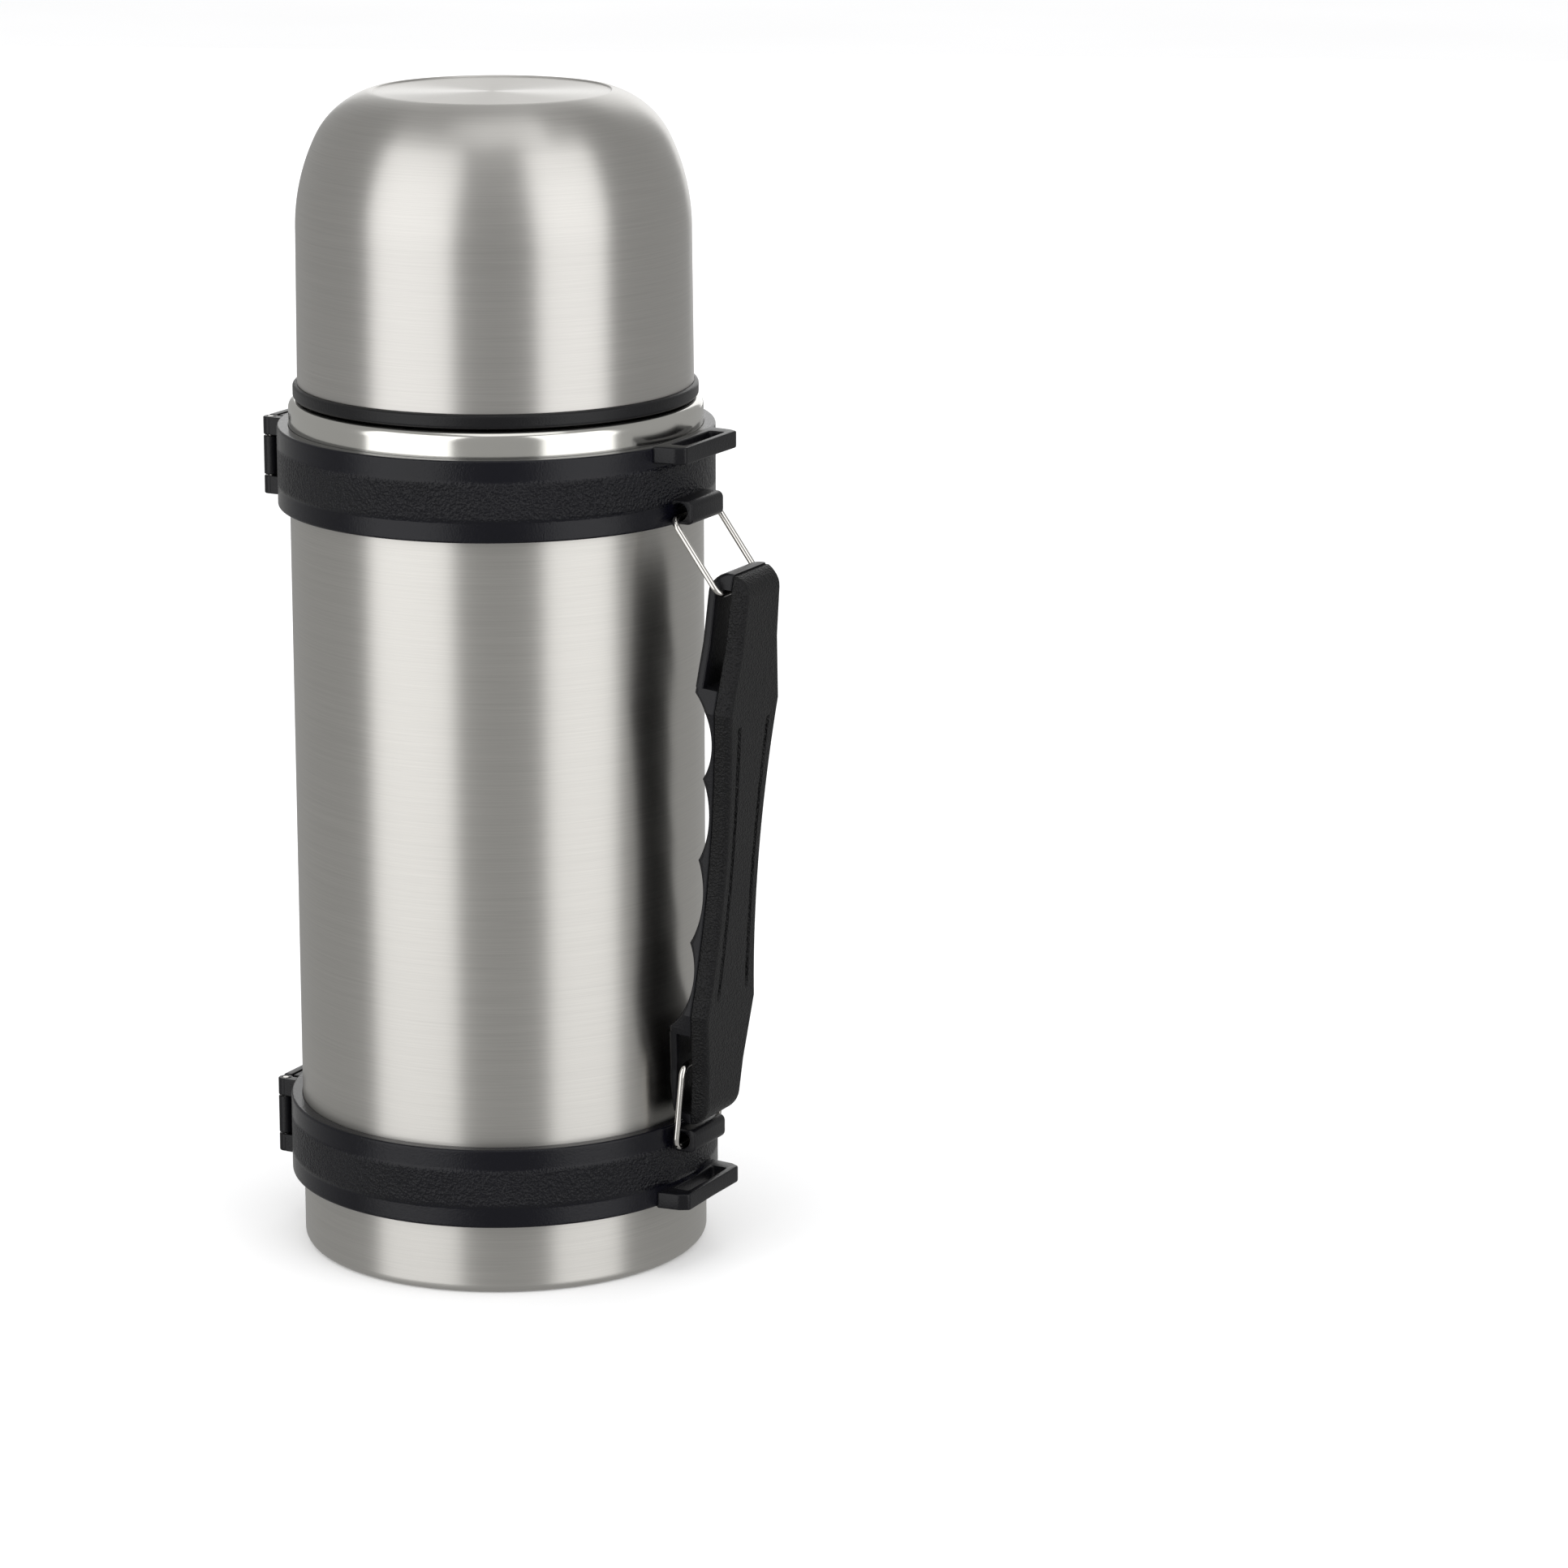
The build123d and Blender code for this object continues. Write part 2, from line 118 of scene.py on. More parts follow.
def arcThrough(start, middle, end, steps=10):
    # the arc from start to end by way of middle, as plain corners
    start, middle, end = (np.array(p, float) for p in (start, middle, end))
    chord = end - start
    along = chord / np.hypot(*chord)
    across = np.array((-along[1], along[0]))
    sag = (middle - start) @ across
    halfChord = np.hypot(*chord) / 2
    lean = 2 * math.atan2(sag, halfChord)
    leave = along * math.cos(lean) + across * math.sin(lean)
    return arcOnto(start, leave, end, steps)[0]


def wallOutline(path, thickness):
    # a wall on the left of an open path: the path, then its copy moved along the normals, backwards
    step = np.diff(path, axis=0)
    step /= np.hypot(step[:, 0], step[:, 1])[:, None]
    tangent = np.concatenate([step[:1], step[:-1] + step[1:], step[-1:]])
    length = np.hypot(tangent[:, 0], tangent[:, 1])
    stretch = np.concatenate([[1], 2 / length[1:-1], [1]])
    tangent /= length[:, None]
    inside = path + np.stack([-tangent[:, 1], tangent[:, 0]], 1) * (thickness * stretch)[:, None]
    return np.concatenate([path, inside[::-1]])


# ---- surfaces: a grid of points becomes a mesh ----

def gridMesh(name, rows, closedRows=False, closedColumns=True, crease=38):
    # rows[i, j] is a point in millimetres; neighbours make quads and equal points make a pole
    n, m = rows.shape[:2]
    number = np.arange(n * m).reshape(n, m)
    for i in (0, n - 1):
        if np.ptp(rows[i], axis=0).max() < 1e-7:
            number[i] = number[i, 0]
    a = number if closedRows else number[:-1]
    b = np.roll(number, -1, 0) if closedRows else number[1:]
    if closedColumns:
        a1, b1 = np.roll(a, -1, 1), np.roll(b, -1, 1)
    else:
        a, a1, b, b1 = a[:, :-1], a[:, 1:], b[:, :-1], b[:, 1:]
    quads = np.stack([a, a1, b1, b], -1).reshape(-1, 4)
    keep = (quads != np.roll(quads, -1, 1))
    used = np.unique(quads)
    places = np.zeros(n * m, int)
    places[used] = np.arange(len(used))
    faces = [face[mask].tolist() for face, mask in zip(places[quads], keep)]
    faces = [face for face in faces if len(face) > 2]
    mesh = bpy.data.meshes.new(name)
    mesh.from_pydata((rows.reshape(-1, 3)[used] * mm).tolist(), [], faces)
    mesh.polygons.foreach_set("use_smooth", np.ones(len(faces), bool))
    mesh.set_sharp_from_angle(angle=math.radians(crease))
    mesh.validate()
    piece = bpy.data.objects.new(name, mesh)
    bpy.context.scene.collection.objects.link(piece)
    return piece


def turned(name, outline, sides=160, closed=True, centre=(0, 0), shape=None):
    # radius and height of an outline, turned about an upright axis; shape may change the radius
    angle = np.arange(sides) * tau / sides
    radius = np.repeat(outline[:, :1], sides, 1)
    height = np.repeat(outline[:, 1:], sides, 1)
    if shape:
        radius = shape(radius, height, angle[None])
    rows = np.stack([
        centre[0] + radius * np.cos(angle), centre[1] + radius * np.sin(angle), height], -1)
    return gridMesh(name, rows, closedRows=closed)


def tube(name, path, radius, flat, sides=14):
    # a round section carried along a closed path that lies in the plane with normal flat
    tangent = np.roll(path, -1, 0) - np.roll(path, 1, 0)
    tangent /= np.linalg.norm(tangent, axis=1)[:, None]
    flat = np.array(flat, float)
    across = np.cross(flat, tangent)
    angle = np.arange(sides) * tau / sides
    rows = path[:, None] + radius * (
        across[:, None] * np.cos(angle)[None, :, None] + flat * np.sin(angle)[None, :, None])
    return gridMesh(name, rows, closedRows=True)


def carried(stations, low, high, half, cornerLow, cornerHigh, faceSteps=9, shift=0.0, relief=None):
    # a rounded rectangle for each station: b runs from low to high and c from -half to half,
    # with its own corner radius at the low and at the high face; relief lowers the low face
    stations, low, high, half, shift = np.broadcast_arrays(stations, low, high, half, shift)
    room = 0.49 * np.minimum(high - low, 2 * half)
    rl = np.minimum(cornerLow, room)[:, None]
    rh = np.minimum(cornerHigh, room)[:, None]
    low, high, half = low[:, None], high[:, None], half[:, None]
    q = np.linspace(-1, 1, faceSteps)[None]
    a = np.linspace(0, math.pi / 2, 6)[1:-1][None]
    lowFace = low if relief is None else low + relief(stations[:, None], q * (half - rl) + shift[:, None])
    one = np.ones_like(q)
    b = [lowFace * one, low + rl * (1 - np.cos(a)), low + rl, high - rh, high - rh * (1 - np.sin(a)),
         high * one, high - rh * (1 - np.cos(a)), high - rh, low + rl, low + rl * (1 - np.sin(a))]
    c = [q * (half - rl), half - rl * (1 - np.sin(a)), half, half, half - rh * (1 - np.cos(a)),
         -q * (half - rh), -half + rh * (1 - np.sin(a)), -half, -half, -half + rl * (1 - np.cos(a))]
    b = np.concatenate([x * np.ones_like(y * low) for x, y in zip(b, c)], 1)
    c = np.concatenate(c, 1) + shift[:, None]
    s = np.repeat(stations[:, None], b.shape[1], 1)
    return s, b, c


def capped(rows):
    # closes both ends of a carried section with a ring drawn in a little and a middle point
    ends = []
    for row in (rows[0], rows[-1]):
        middle = row.mean(0)
        inner = row + (middle - row) * 0.04
        ends.append((inner[None], np.repeat(middle[None, None], row.shape[0], 1)))
    return np.concatenate([ends[0][1], ends[0][0], rows, ends[1][0], ends[1][1]])


def roundedEnds(start, stop, radius, steps=6, between=40):
    # stations from start to stop, closer together at both ends, and how far the section
    # draws in at each: a quarter circle of the given radius
    t = np.linspace(0, math.pi / 2, steps + 1)
    edge = radius * (1 - np.cos(t))
    draw = radius * (1 - np.sin(t))
    middle = np.linspace(start + radius, stop - radius, between + 1)[1:-1]
    stations = np.concatenate([start + edge, middle, (stop - edge)[::-1]])
    return stations, np.concatenate([draw, np.zeros(len(middle)), draw[::-1]])


def evenLoop(points, count):
    # a closed line measured along itself and cut into equal steps
    loop = np.concatenate([points, points[:1]])
    length = np.concatenate([[0], np.cumsum(np.hypot(*np.diff(loop, axis=0).T))])
    at = np.linspace(0, length[-1], count, endpoint=False)
    return np.stack([np.interp(at, length, loop[:, k]) for k in (0, 1)], 1)


def startAtRight(loop):
    # turns the list so that it begins where the loop is farthest right on its middle line
    middle = loop.mean(0)
    key = np.abs(loop[:, 1] - middle[1]) - (loop[:, 0] > middle[0]) * 1000
    return np.roll(loop, -int(np.argmin(key)), 0)


def holedPlate(outer, inner, low, high, edge, count=168):
    # a plate between an outer line and a hole: its section is a rounded rectangle from the
    # outer line to the hole, carried round both lines together
    outer = evenLoop(startAtRight(evenLoop(outer, 720)), count)
    inner = evenLoop(startAtRight(evenLoop(inner, 720)), count)
    gap = np.linalg.norm(inner - outer, axis=1)[None]
    a = np.linspace(0, math.pi / 2, 5)[:, None]
    inset = [edge * (1 - np.sin(a)), edge * (1 - np.cos(a)), gap - edge * (1 - np.sin(a)),
        gap - edge * (1 - np.cos(a))]
    level = [low + edge * (1 - np.cos(a)), high - edge * (1 - np.sin(a)),
             high - edge * (1 - np.cos(a)), low + edge * (1 - np.sin(a))]
    inset = np.concatenate([x * np.ones_like(gap) for x in inset])
    level = np.concatenate([x * np.ones_like(gap) for x in level])
    plane = outer[None] + (inner - outer)[None] * (inset / gap)[..., None]
    return plane[..., 0], plane[..., 1], level


# ---- finishes ----

class Value:
    # one number socket; arithmetic on it adds Math nodes
    def __init__(self, finish, socket):
        self.finish, self.socket = finish, socket

    def calc(self, operation, first, second=0.0):
        made = self.finish.node("ShaderNodeMath", {"operation": operation}, {0: first, 1: second})
        return Value(self.finish, made.outputs[0])

    def __add__(self, other):
        return self.calc("ADD", self, other)

    __radd__ = __add__

    def __sub__(self, other):
        return self.calc("SUBTRACT", self, other)

    def __rsub__(self, other):
        return self.calc("SUBTRACT", other, self)

    def __mul__(self, other):
        return self.calc("MULTIPLY", self, other)

    __rmul__ = __mul__

    def power(self, other):
        return self.calc("POWER", self, other)

    def between(self, low, high):
        # 0 below low, 1 above high and a smooth step between
        made = self.finish.node(
            "ShaderNodeMapRange", {"interpolation_type": "SMOOTHSTEP"},
            {"Value": self, "From Min": low, "From Max": high})
        return Value(self.finish, made.outputs["Result"])


class Finish:
    def __init__(self, name, **fixed):
        self.material = bpy.data.materials.new(name)
        self.material.use_nodes = True
        self.tree = self.material.node_tree
        self.shader = self.tree.nodes["Principled BSDF"]
        for socket, value in fixed.items():
            self.shader.inputs[socket.replace("_", " ")].default_value = value
        self.place = self.node("ShaderNodeTexCoord").outputs["Object"]

    def node(self, kind, settings=None, inputs=None):
        made = self.tree.nodes.new(kind)
        for key, value in (settings or {}).items():
            if key == "stops":
                ramp = made.color_ramp
                while len(ramp.elements) < len(value):
                    ramp.elements.new(1.0)
                for element, (position, color) in zip(ramp.elements, value):
                    element.position, element.color = position, (*color, 1)
            else:
                setattr(made, key, value)
        for key, value in (inputs or {}).items():
            if isinstance(value, Value):
                value = value.socket
            if isinstance(value, bpy.types.NodeSocket):
                self.tree.links.new(value, made.inputs[key])
            else:
                made.inputs[key].default_value = value
        return made

    def axes(self):
        made = self.node("ShaderNodeSeparateXYZ", None, {"Vector": self.place})
        return [Value(self, made.outputs[k]) for k in "XYZ"]

    def noise(self, vector, scale, detail=2.0, roughness=0.5):
        made = self.node("ShaderNodeTexNoise", None, {
            "Vector": vector, "Scale": scale, "Detail": detail, "Roughness": roughness})
        return Value(self, made.outputs["Fac"])

    def grain(self, vector, scale, smooth=0.4):
        made = self.node("ShaderNodeTexVoronoi", {"feature": "SMOOTH_F1"}, {
            "Vector": vector, "Scale": scale, "Smoothness": smooth})
        return Value(self, made.outputs["Distance"])

    def vector(self, x, y, z):
        return self.node("ShaderNodeCombineXYZ", None, {"X": x, "Y": y, "Z": z}).outputs[0]

    def link(self, socket, value):
        self.tree.links.new(value.socket if isinstance(value, Value) else value, self.shader.inputs[socket])

    def color(self, factor, stops):
        ramp = self.node("ShaderNodeValToRGB", {"stops": stops}, {"Fac": factor})
        self.link("Base Color", ramp.outputs["Color"])

    def bump(self, height, strength, distance):
        made = self.node("ShaderNodeBump", None, {
            "Height": height, "Strength": strength, "Distance": distance})
        self.link("Normal", made.outputs["Normal"])


def brushedSteel(name, light, rough):
    # streaks run round the piece: noise that is stretched along x and y and fine along height
    # minus radius, so that it also turns round the flat top
    finish = Finish(name, Metallic=1.0, Anisotropic=0.82, Anisotropic_Rotation=0.25)
    x, y, z = finish.axes()
    radius = (x * x + y * y).power(0.5)
    along = z - radius
    fine = finish.noise(finish.vector(x * 55, y * 55, along * 9000), 1.0, 2.0)
    broad = finish.noise(finish.vector(x * 22, y * 22, along * 2100), 1.0, 3.0)
    cloud = finish.noise(finish.place, 14.0, 2.0)
    streak = fine * 0.55 + broad * 0.45
    dark = [c * 0.86 for c in light]
    finish.color(streak, [(0.3, dark), (0.7, light)])
    finish.link("Roughness", rough - 0.07 + streak * 0.12 + cloud * 0.03)
    finish.bump(streak, 0.22, 0.00004)
    return finish.material


def polishedSteel(name, light, rough):
    # a mirror with faint turning lines and a few soft smears
    finish = Finish(name, Metallic=1.0)
    x, y, z = finish.axes()
    radius = (x * x + y * y).power(0.5)
    lines = finish.noise(finish.vector(x * 30, y * 30, (z - radius) * 2600), 1.0, 2.0)
    smear = finish.noise(finish.place, 45.0, 3.0)
    finish.color(smear, [(0.25, [c * 0.93 for c in light]), (0.75, light)])
    finish.link("Roughness", rough + (lines - 0.5) * 0.03 + smear.between(0.55, 0.8) * 0.05)
    finish.bump(lines, 0.05, 0.00003)
    return finish.material


def wireSteel(name, light, rough):
    # drawn wire: bright, with short scratches
    finish = Finish(name, Metallic=1.0)
    scratch = finish.noise(finish.place, 900.0, 3.0, 0.6)
    cloud = finish.noise(finish.place, 120.0, 2.0)
    finish.color(cloud, [(0.3, [c * 0.85 for c in light]), (0.7, light)])
    finish.link("Roughness", rough + (scratch - 0.5) * 0.1)
    finish.bump(scratch, 0.08, 0.00003)
    return finish.material


def mouldedBlack(name, tint, rough, grainScale=0.0, grainDepth=0.0, bands=None, spread=0.05, relief=0.00034):
    # moulded plastic: faint flow marks, tiny dimples, and leather grain where it is asked for;
    # bands limits the grain to heights between two lines in each pair
    finish = Finish(name, IOR=1.35)
    x, y, z = finish.axes()
    flow = finish.noise(finish.place, 26.0, 3.0)
    dimple = finish.noise(finish.place, 2600.0, 2.0)
    height = dimple * 0.12
    level = rough + (flow - 0.5) * spread
    tone = flow
    if grainDepth:
        warp = finish.noise(finish.place, 700.0, 1.0)
        cells = finish.grain(finish.place, grainScale, 0.55)
        fineCells = finish.grain(finish.place, grainScale * 1.9, 0.5)
        leather = cells * 0.65 + fineCells * 0.35 + warp * 0.3
        if bands:
            mask = 0.0
            for low, high, blur in bands:
                mask = z.between(low - blur, low + blur) * (1 - z.between(high - blur, high + blur)) + mask
            leather = leather * mask
            level = level + mask * 0.16
        else:
            level = level + 0.02
        height = height + leather * grainDepth
    finish.color(tone, [(0.3, [c * 0.8 for c in tint]), (0.72, [c * 1.25 for c in tint])])
    finish.link("Roughness", level + (dimple - 0.5) * 0.05)
    finish.bump(height, 0.7, relief)
    return finish.material


def paleDisc(name):
    # fine satin with turned rings
    finish = Finish(name, Metallic=0.25)
    x, y, z = finish.axes()
    radius = (x * x + y * y).power(0.5)
    rings = finish.noise(finish.vector(radius * 7000, 0.0, 0.0), 1.0, 2.0)
    finish.color(rings, [(0.3, (0.66, 0.66, 0.65)), (0.7, (0.8, 0.8, 0.79))])
    finish.link("Roughness", 0.3 + rings * 0.12)
    finish.bump(rings, 0.1, 0.00003)
    return finish.material


def siliconeRubber(name):
    finish = Finish(name, IOR=1.43, Subsurface_Weight=0.12, Subsurface_Scale=0.002)
    cloud = finish.noise(finish.place, 60.0, 2.0)
    speck = finish.noise(finish.place, 1800.0, 2.0)
    finish.color(cloud, [(0.3, (0.5, 0.49, 0.46)), (0.7, (0.62, 0.61, 0.58))])
    finish.link("Roughness", 0.45 + speck * 0.12)
    finish.bump(speck, 0.15, 0.00005)
    return finish.material


def cellFoam(name):
    finish = Finish(name)
    cells = finish.grain(finish.place, 900.0, 0.3)
    finish.color(cells, [(0.1, (0.5, 0.42, 0.26)), (0.6, (0.78, 0.7, 0.5))])
    finish.link("Roughness", 0.85 + cells * 0.1)
    finish.bump(cells, 0.6, 0.0004)
    return finish.material


def sinteredPellet(name):
    finish = Finish(name, Metallic=0.6)
    speck = finish.noise(finish.place, 3000.0, 4.0, 0.7)
    finish.color(speck, [(0.35, (0.12, 0.11, 0.1)), (0.7, (0.4, 0.38, 0.36))])
    finish.link("Roughness", 0.6 + speck * 0.2)
    finish.bump(speck, 0.5, 0.0001)
    return finish.material


upperLow, upperHigh = span("upper_band")
lowerLow, lowerHigh = span("lower_band")
bandSize = {"upper": (upperLow[2], upperLow[2] + 20.3), "lower": (lowerHigh[2] - 20.3, lowerHigh[2])}
grainShare = (0.27, 0.73, 0.035)    # where the grained stripe lies on a band, and how soft its edges are


def grainStripe(which):
    low, high = bandSize[which]
    tall = high - low
    return ((low + grainShare[0] * tall) * mm, (low + grainShare[1] * tall) * mm, grainShare[2] * tall * mm)


finishes = {
    "bodySteel": brushedSteel("bodySteel", (0.66, 0.645, 0.615), 0.36),
    "cupSteel": brushedSteel("cupSteel", (0.64, 0.625, 0.60), 0.36),
    "shoulderSteel": polishedSteel("shoulderSteel", (0.76, 0.75, 0.71), 0.15),
    "insideSteel": brushedSteel("insideSteel", (0.58, 0.57, 0.55), 0.42),
    "wire": wireSteel("wire", (0.74, 0.72, 0.69), 0.13),
    "springWire": wireSteel("springWire", (0.55, 0.55, 0.54), 0.25),
    "bandBlack": mouldedBlack(
        "bandBlack", (0.0020, 0.0020, 0.0040), 0.2, 1300.0, 1.0, [grainStripe("upper"), grainStripe("lower")],
        relief=0.0008),
    "claspBlack": mouldedBlack("claspBlack", (0.0032, 0.0032, 0.0044), 0.3, 2200.0, 0.18),
    "handleBlack": mouldedBlack("handleBlack", (0.0020, 0.0020, 0.0027), 0.4, 1700.0, 0.9, None, 0.08,
    0.0006), "gripBlack": mouldedBlack("gripBlack", (0.0040, 0.0040, 0.0056), 0.36, 1900.0, 0.22, None, 0.08),
    "rimBlack": mouldedBlack("rimBlack", (0.0036, 0.0036, 0.0044), 0.3, 2600.0, 0.2),
    "stopperBlack": mouldedBlack("stopperBlack", (0.0032, 0.0032, 0.0040), 0.11, spread=0.04),
    "pale": paleDisc("pale"),
    "silicone": siliconeRubber("silicone"),
    "foam": cellFoam("foam"),
    "pellet": sinteredPellet("pellet"),
}
print("finishes made:", len(finishes))


def fit(piece, finish, body, slot, *nodes):
    # dresses a piece, ties it to its body and lets it stand for CAD nodes
    piece.data.materials.append(finishes[finish])
    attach(piece, body)
    if nodes:
        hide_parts(*nodes)
    return piece


def turnedPiece(name, corners, sides, closed, finish, body, slot, *nodes):
    # a piece that is nothing more than its corners, smoothed and turned
    outline = smoothOutline(corners, closed=closed)
    return fit(turned(name, outline, sides, closed=closed), finish, body, slot, *nodes)


def sealRing(name, node, bore, rounds, sides, body):
    # a silicone ring from its bore out to the edge of the CAD ring, with a radius for each corner
    low, high = span(node)
    places = [(bore, low[2]), (high[0], low[2]), (high[0], high[2]), (bore, high[2])]
    ring = [(*place, radius) for place, radius in zip(places, rounds)]
    turnedPiece(name, ring, sides, True, "silicone", body, "silicone", node)


def dress(node, finish):
    # a CAD node that stays gets its finish in every slot
    item = frame["nodes"][node]
    if not item.data.materials:
        item.data.materials.append(finishes[finish])
    for k in range(len(item.data.materials)):
        item.data.materials[k] = finishes[finish]


# ---- steel body ----

_, bodyHigh = span("outer_shell")
body = {"radius": bodyHigh[0], "wall": 0.6, "footInner": 46.5, "footRound": 3.5, "top": bodyHigh[2]}


def makeBody():
    # foot, rounded edge and straight side, with the wall behind them
    d = body
    path = smoothOutline([
        (d["footInner"], 0, 0), (d["radius"], 0, d["footRound"]), (d["radius"], d["top"], 0)], closed=False,
        steps=12)
    outline = wallOutline(path, d["wall"])
    fit(turned("bodyShell", outline, 256), "bodySteel", "root", "brushed_steel_body", "outer_shell")


base = {"hole": 3.0, "floor": 4.2, "sheet": 0.8, "pad": 5.0}


def makeBase():
    # the dished bottom sheet with its pressed ring, and the evacuation plug in the middle
    d = base
    inner = body["footInner"]
    outline = smoothOutline([
        (d["hole"], d["floor"], 0.1), (30, d["floor"], 3), (31.2, d["floor"] - 0.5, 3), (32.4, d["floor"], 3),
        (inner - 1.8, d["floor"], 1.2), (inner - 0.8, 0.02, 0.1), (inner, 0.02, 0.1), (inner, 0.6, 0.1),
        (inner - 1, d["floor"] + d["sheet"], 0.8), (d["hole"], d["floor"] + d["sheet"], 0.1)])
    fit(turned("bottomSheet", outline, 160), "insideSteel", "root", "plain_steel", "base_plate")
    low, high = span("vacuum_plug")
    plug = [(0, low[2], 0), (d["pad"] - 0.4, low[2], 0.5), (d["pad"], d["floor"] - 0.02, 0.15),
            (d["hole"], d["floor"], 0.05), (d["hole"], high[2], 0.3), (0, high[2], 0)]
    turnedPiece("evacuationPlug", plug, 64, False, "insideSteel", "root", "plain_steel", "vacuum_plug")


_, neckHigh = span("neck_shoulder")
shoulder = {
    "groove": 46.6, "step": 219.4, "beadLow": 229.6, "bead": 47.8, "beadHigh": 236.4, "neck": 31.2,
    "coneTop": (34.4, 247.2), "wall": 0.6, "threadStart": 250.6, "threadEnd": 263.6, "pitch": 5.2,
    "threadRise": 0.58}


def threadShape(radius, height, angle):
    # one helix outside the neck: the rise follows how far a point is from the thread's line,
    # and fades in and out at both ends
    d = shoulder
    turns = (height - d["threadStart"]) / d["pitch"] - angle / tau
    ridge = np.clip(1.0 - np.abs(turns - np.round(turns)) * d["pitch"] / 1.15, 0, 1)
    ridge = ridge * ridge * (3 - 2 * ridge)
    inside = np.clip((height - d["threadStart"]) / 1.5, 0, 1) * np.clip((d["threadEnd"] - height) / 1.5, 0, 1)
    outer = np.abs(radius - d["neck"]) < 0.01
    return radius + d["threadRise"] * ridge * inside * outer


def makeShoulder():
    # convex step, groove, rolled bead, cone and threaded neck
    d = shoulder
    r = body["radius"]
    bead = arcThrough((d["groove"], d["beadLow"]), (d["bead"], (d["beadLow"] + d["beadHigh"]) / 2),
                      (d["groove"], d["beadHigh"]), 12)
    corners = [(r, body["top"], 0), (r, d["step"], 5.4), (d["groove"], d["step"], 0.5),
        (d["groove"], 224.2, 0.4),
               (d["groove"] - 0.25, 225.0, 0.4), (d["groove"] - 0.25, 228.2, 0.5)]
    corners += bead + [(d["groove"], 239.6, 1.6), (45.2, 240.6, 2.0), (*d["coneTop"], 1.4),
        (d["neck"], 248.2, 0.6)]
    lower = smoothOutline(corners + [(d["neck"], 249.4, 0)], closed=False, steps=8)
    neck = np.stack([np.full(80, d["neck"]), np.linspace(249.6, neckHigh[2] - 0.9, 80)], 1)
    lip = smoothOutline([(d["neck"], neckHigh[2] - 0.8, 0), (d["neck"], neckHigh[2], 0.35),
        (30.6, neckHigh[2], 0)],
                        closed=False)
    outer = np.concatenate([lower, neck, lip[:-1]])
    inner = smoothOutline([
        (30.6, neckHigh[2], 0), (30.6, 249.2, 0), (34.0, 246.6, 1.2), (44.9, 239.9, 1.6), (46.0, 239.2, 1.0),
        (46.0, 236.4, 1), (47.2, 233.0, 2.5), (46.0, 229.6, 1), (46.0, 218.9, 0.4), (51.4, 218.6, 4.8),
        (51.4, body["top"], 0)], closed=False)
    outline = np.concatenate([outer, inner[1:]])
    piece = turned("shoulderShell", outline, 256, shape=threadShape)
    fit(piece, "shoulderSteel", "root", "polished_steel", "neck_shoulder")


inside = {"radius": 46.4, "wall": 0.5, "seam": 17.0, "floor": 9.4, "corner": 6.0, "lipOut": 30.6}


def makeInside():
    # inner wall from the bottom seam to the rolled lip, then the bottom cup below the seam
    d = inside
    path = smoothOutline([
        (d["radius"], d["seam"], 0), (d["radius"], 209, 9), (43.0, 213, 4), (43.0, 237, 6), (37.0, 237.2, 3),
        (29.0, 241, 2), (27.6, 243.5, 1.5), (27.6, neckHigh[2] - 0.45, 0)], closed=False)
    wall = wallOutline(path, d["wall"])
    fit(turned("innerWall", wall, 200), "insideSteel", "root", "plain_steel", "inner_vessel")
    top = neckHigh[2]
    lip = [(27.1, top - 0.8, 0.1), (d["lipOut"], top - 0.8, 0.1), (d["lipOut"], top, 0.15), (27.1, top, 0.35)]
    turnedPiece("neckLip", lip, 160, True, "shoulderSteel", "root", "polished_steel")
    bottom = smoothOutline([
        (0, d["floor"], 0), (d["radius"], d["floor"], d["corner"]), (d["radius"], d["seam"], 0)],
        closed=False, steps=12)
    outline = wallOutline(bottom, d["wall"])
    fit(turned("innerBottom", outline, 160, closed=False), "insideSteel", "root", "plain_steel",
        "inner_bottom")
    low, high = span("getter")
    pellet = [(0, low[2], 0), (8, low[2], 0.5), (8, high[2], 0.3), (0, high[2], 0)]
    turnedPiece("getterPellet", pellet, 48, False, "pellet", "root", "getter_pellet", "getter")


makeBody()
makeBase()
makeShoulder()
makeInside()
print("steel body made")


# ---- bands, strap loops, wire lugs and clasps ----

band = {"bore": 52.05, "outer": 55.0, "edge": 0.55}
loop = {"front": 61.0, "half": 14.75, "taper": 2.4, "x0": 55.05, "x1": 59.25, "slotHalf": 10.2, "edge": 0.45}
lug = {"front": 60.0, "half": 8.2, "round": 1.6, "hole": 2.2, "holeX": 56.0, "edge": 0.4}
clasp = {
    "x": -55.3, "y": -18.0, "knuckle": 1.9, "seat": -55.0, "coverOut": -57.6, "coverIn": -55.3,
    "coverStart": -15.6, "coverEnd": 20.6, "knuckleTall": 4.6, "ovals": 4, "ovalPitch": 7.8,
    "firstOval": -10.2, "ovalWide": 2.0, "ovalTall": 6.2, "line": 0.34, "depth": 0.38}


def moulded(piece, body, *nodes):
    fit(piece, "claspBlack", body, "satin_black", *nodes)


def bandRing(which, low, high):
    # a moulded ring with eased edges, and extra rows along its outer face
    d = band
    tall = high - low
    stripes = [(d["outer"], low + share * tall, 0) for share in (0.2, 0.27, 0.34, 0.5, 0.66, 0.73, 0.8)]
    outline = smoothOutline(
        [(d["bore"], low, 0.2), (d["outer"], low, d["edge"])] + stripes
        + [(d["outer"], high, d["edge"]), (d["bore"], high, 0.2)])
    return turned(which + "BandRing", outline, 256)


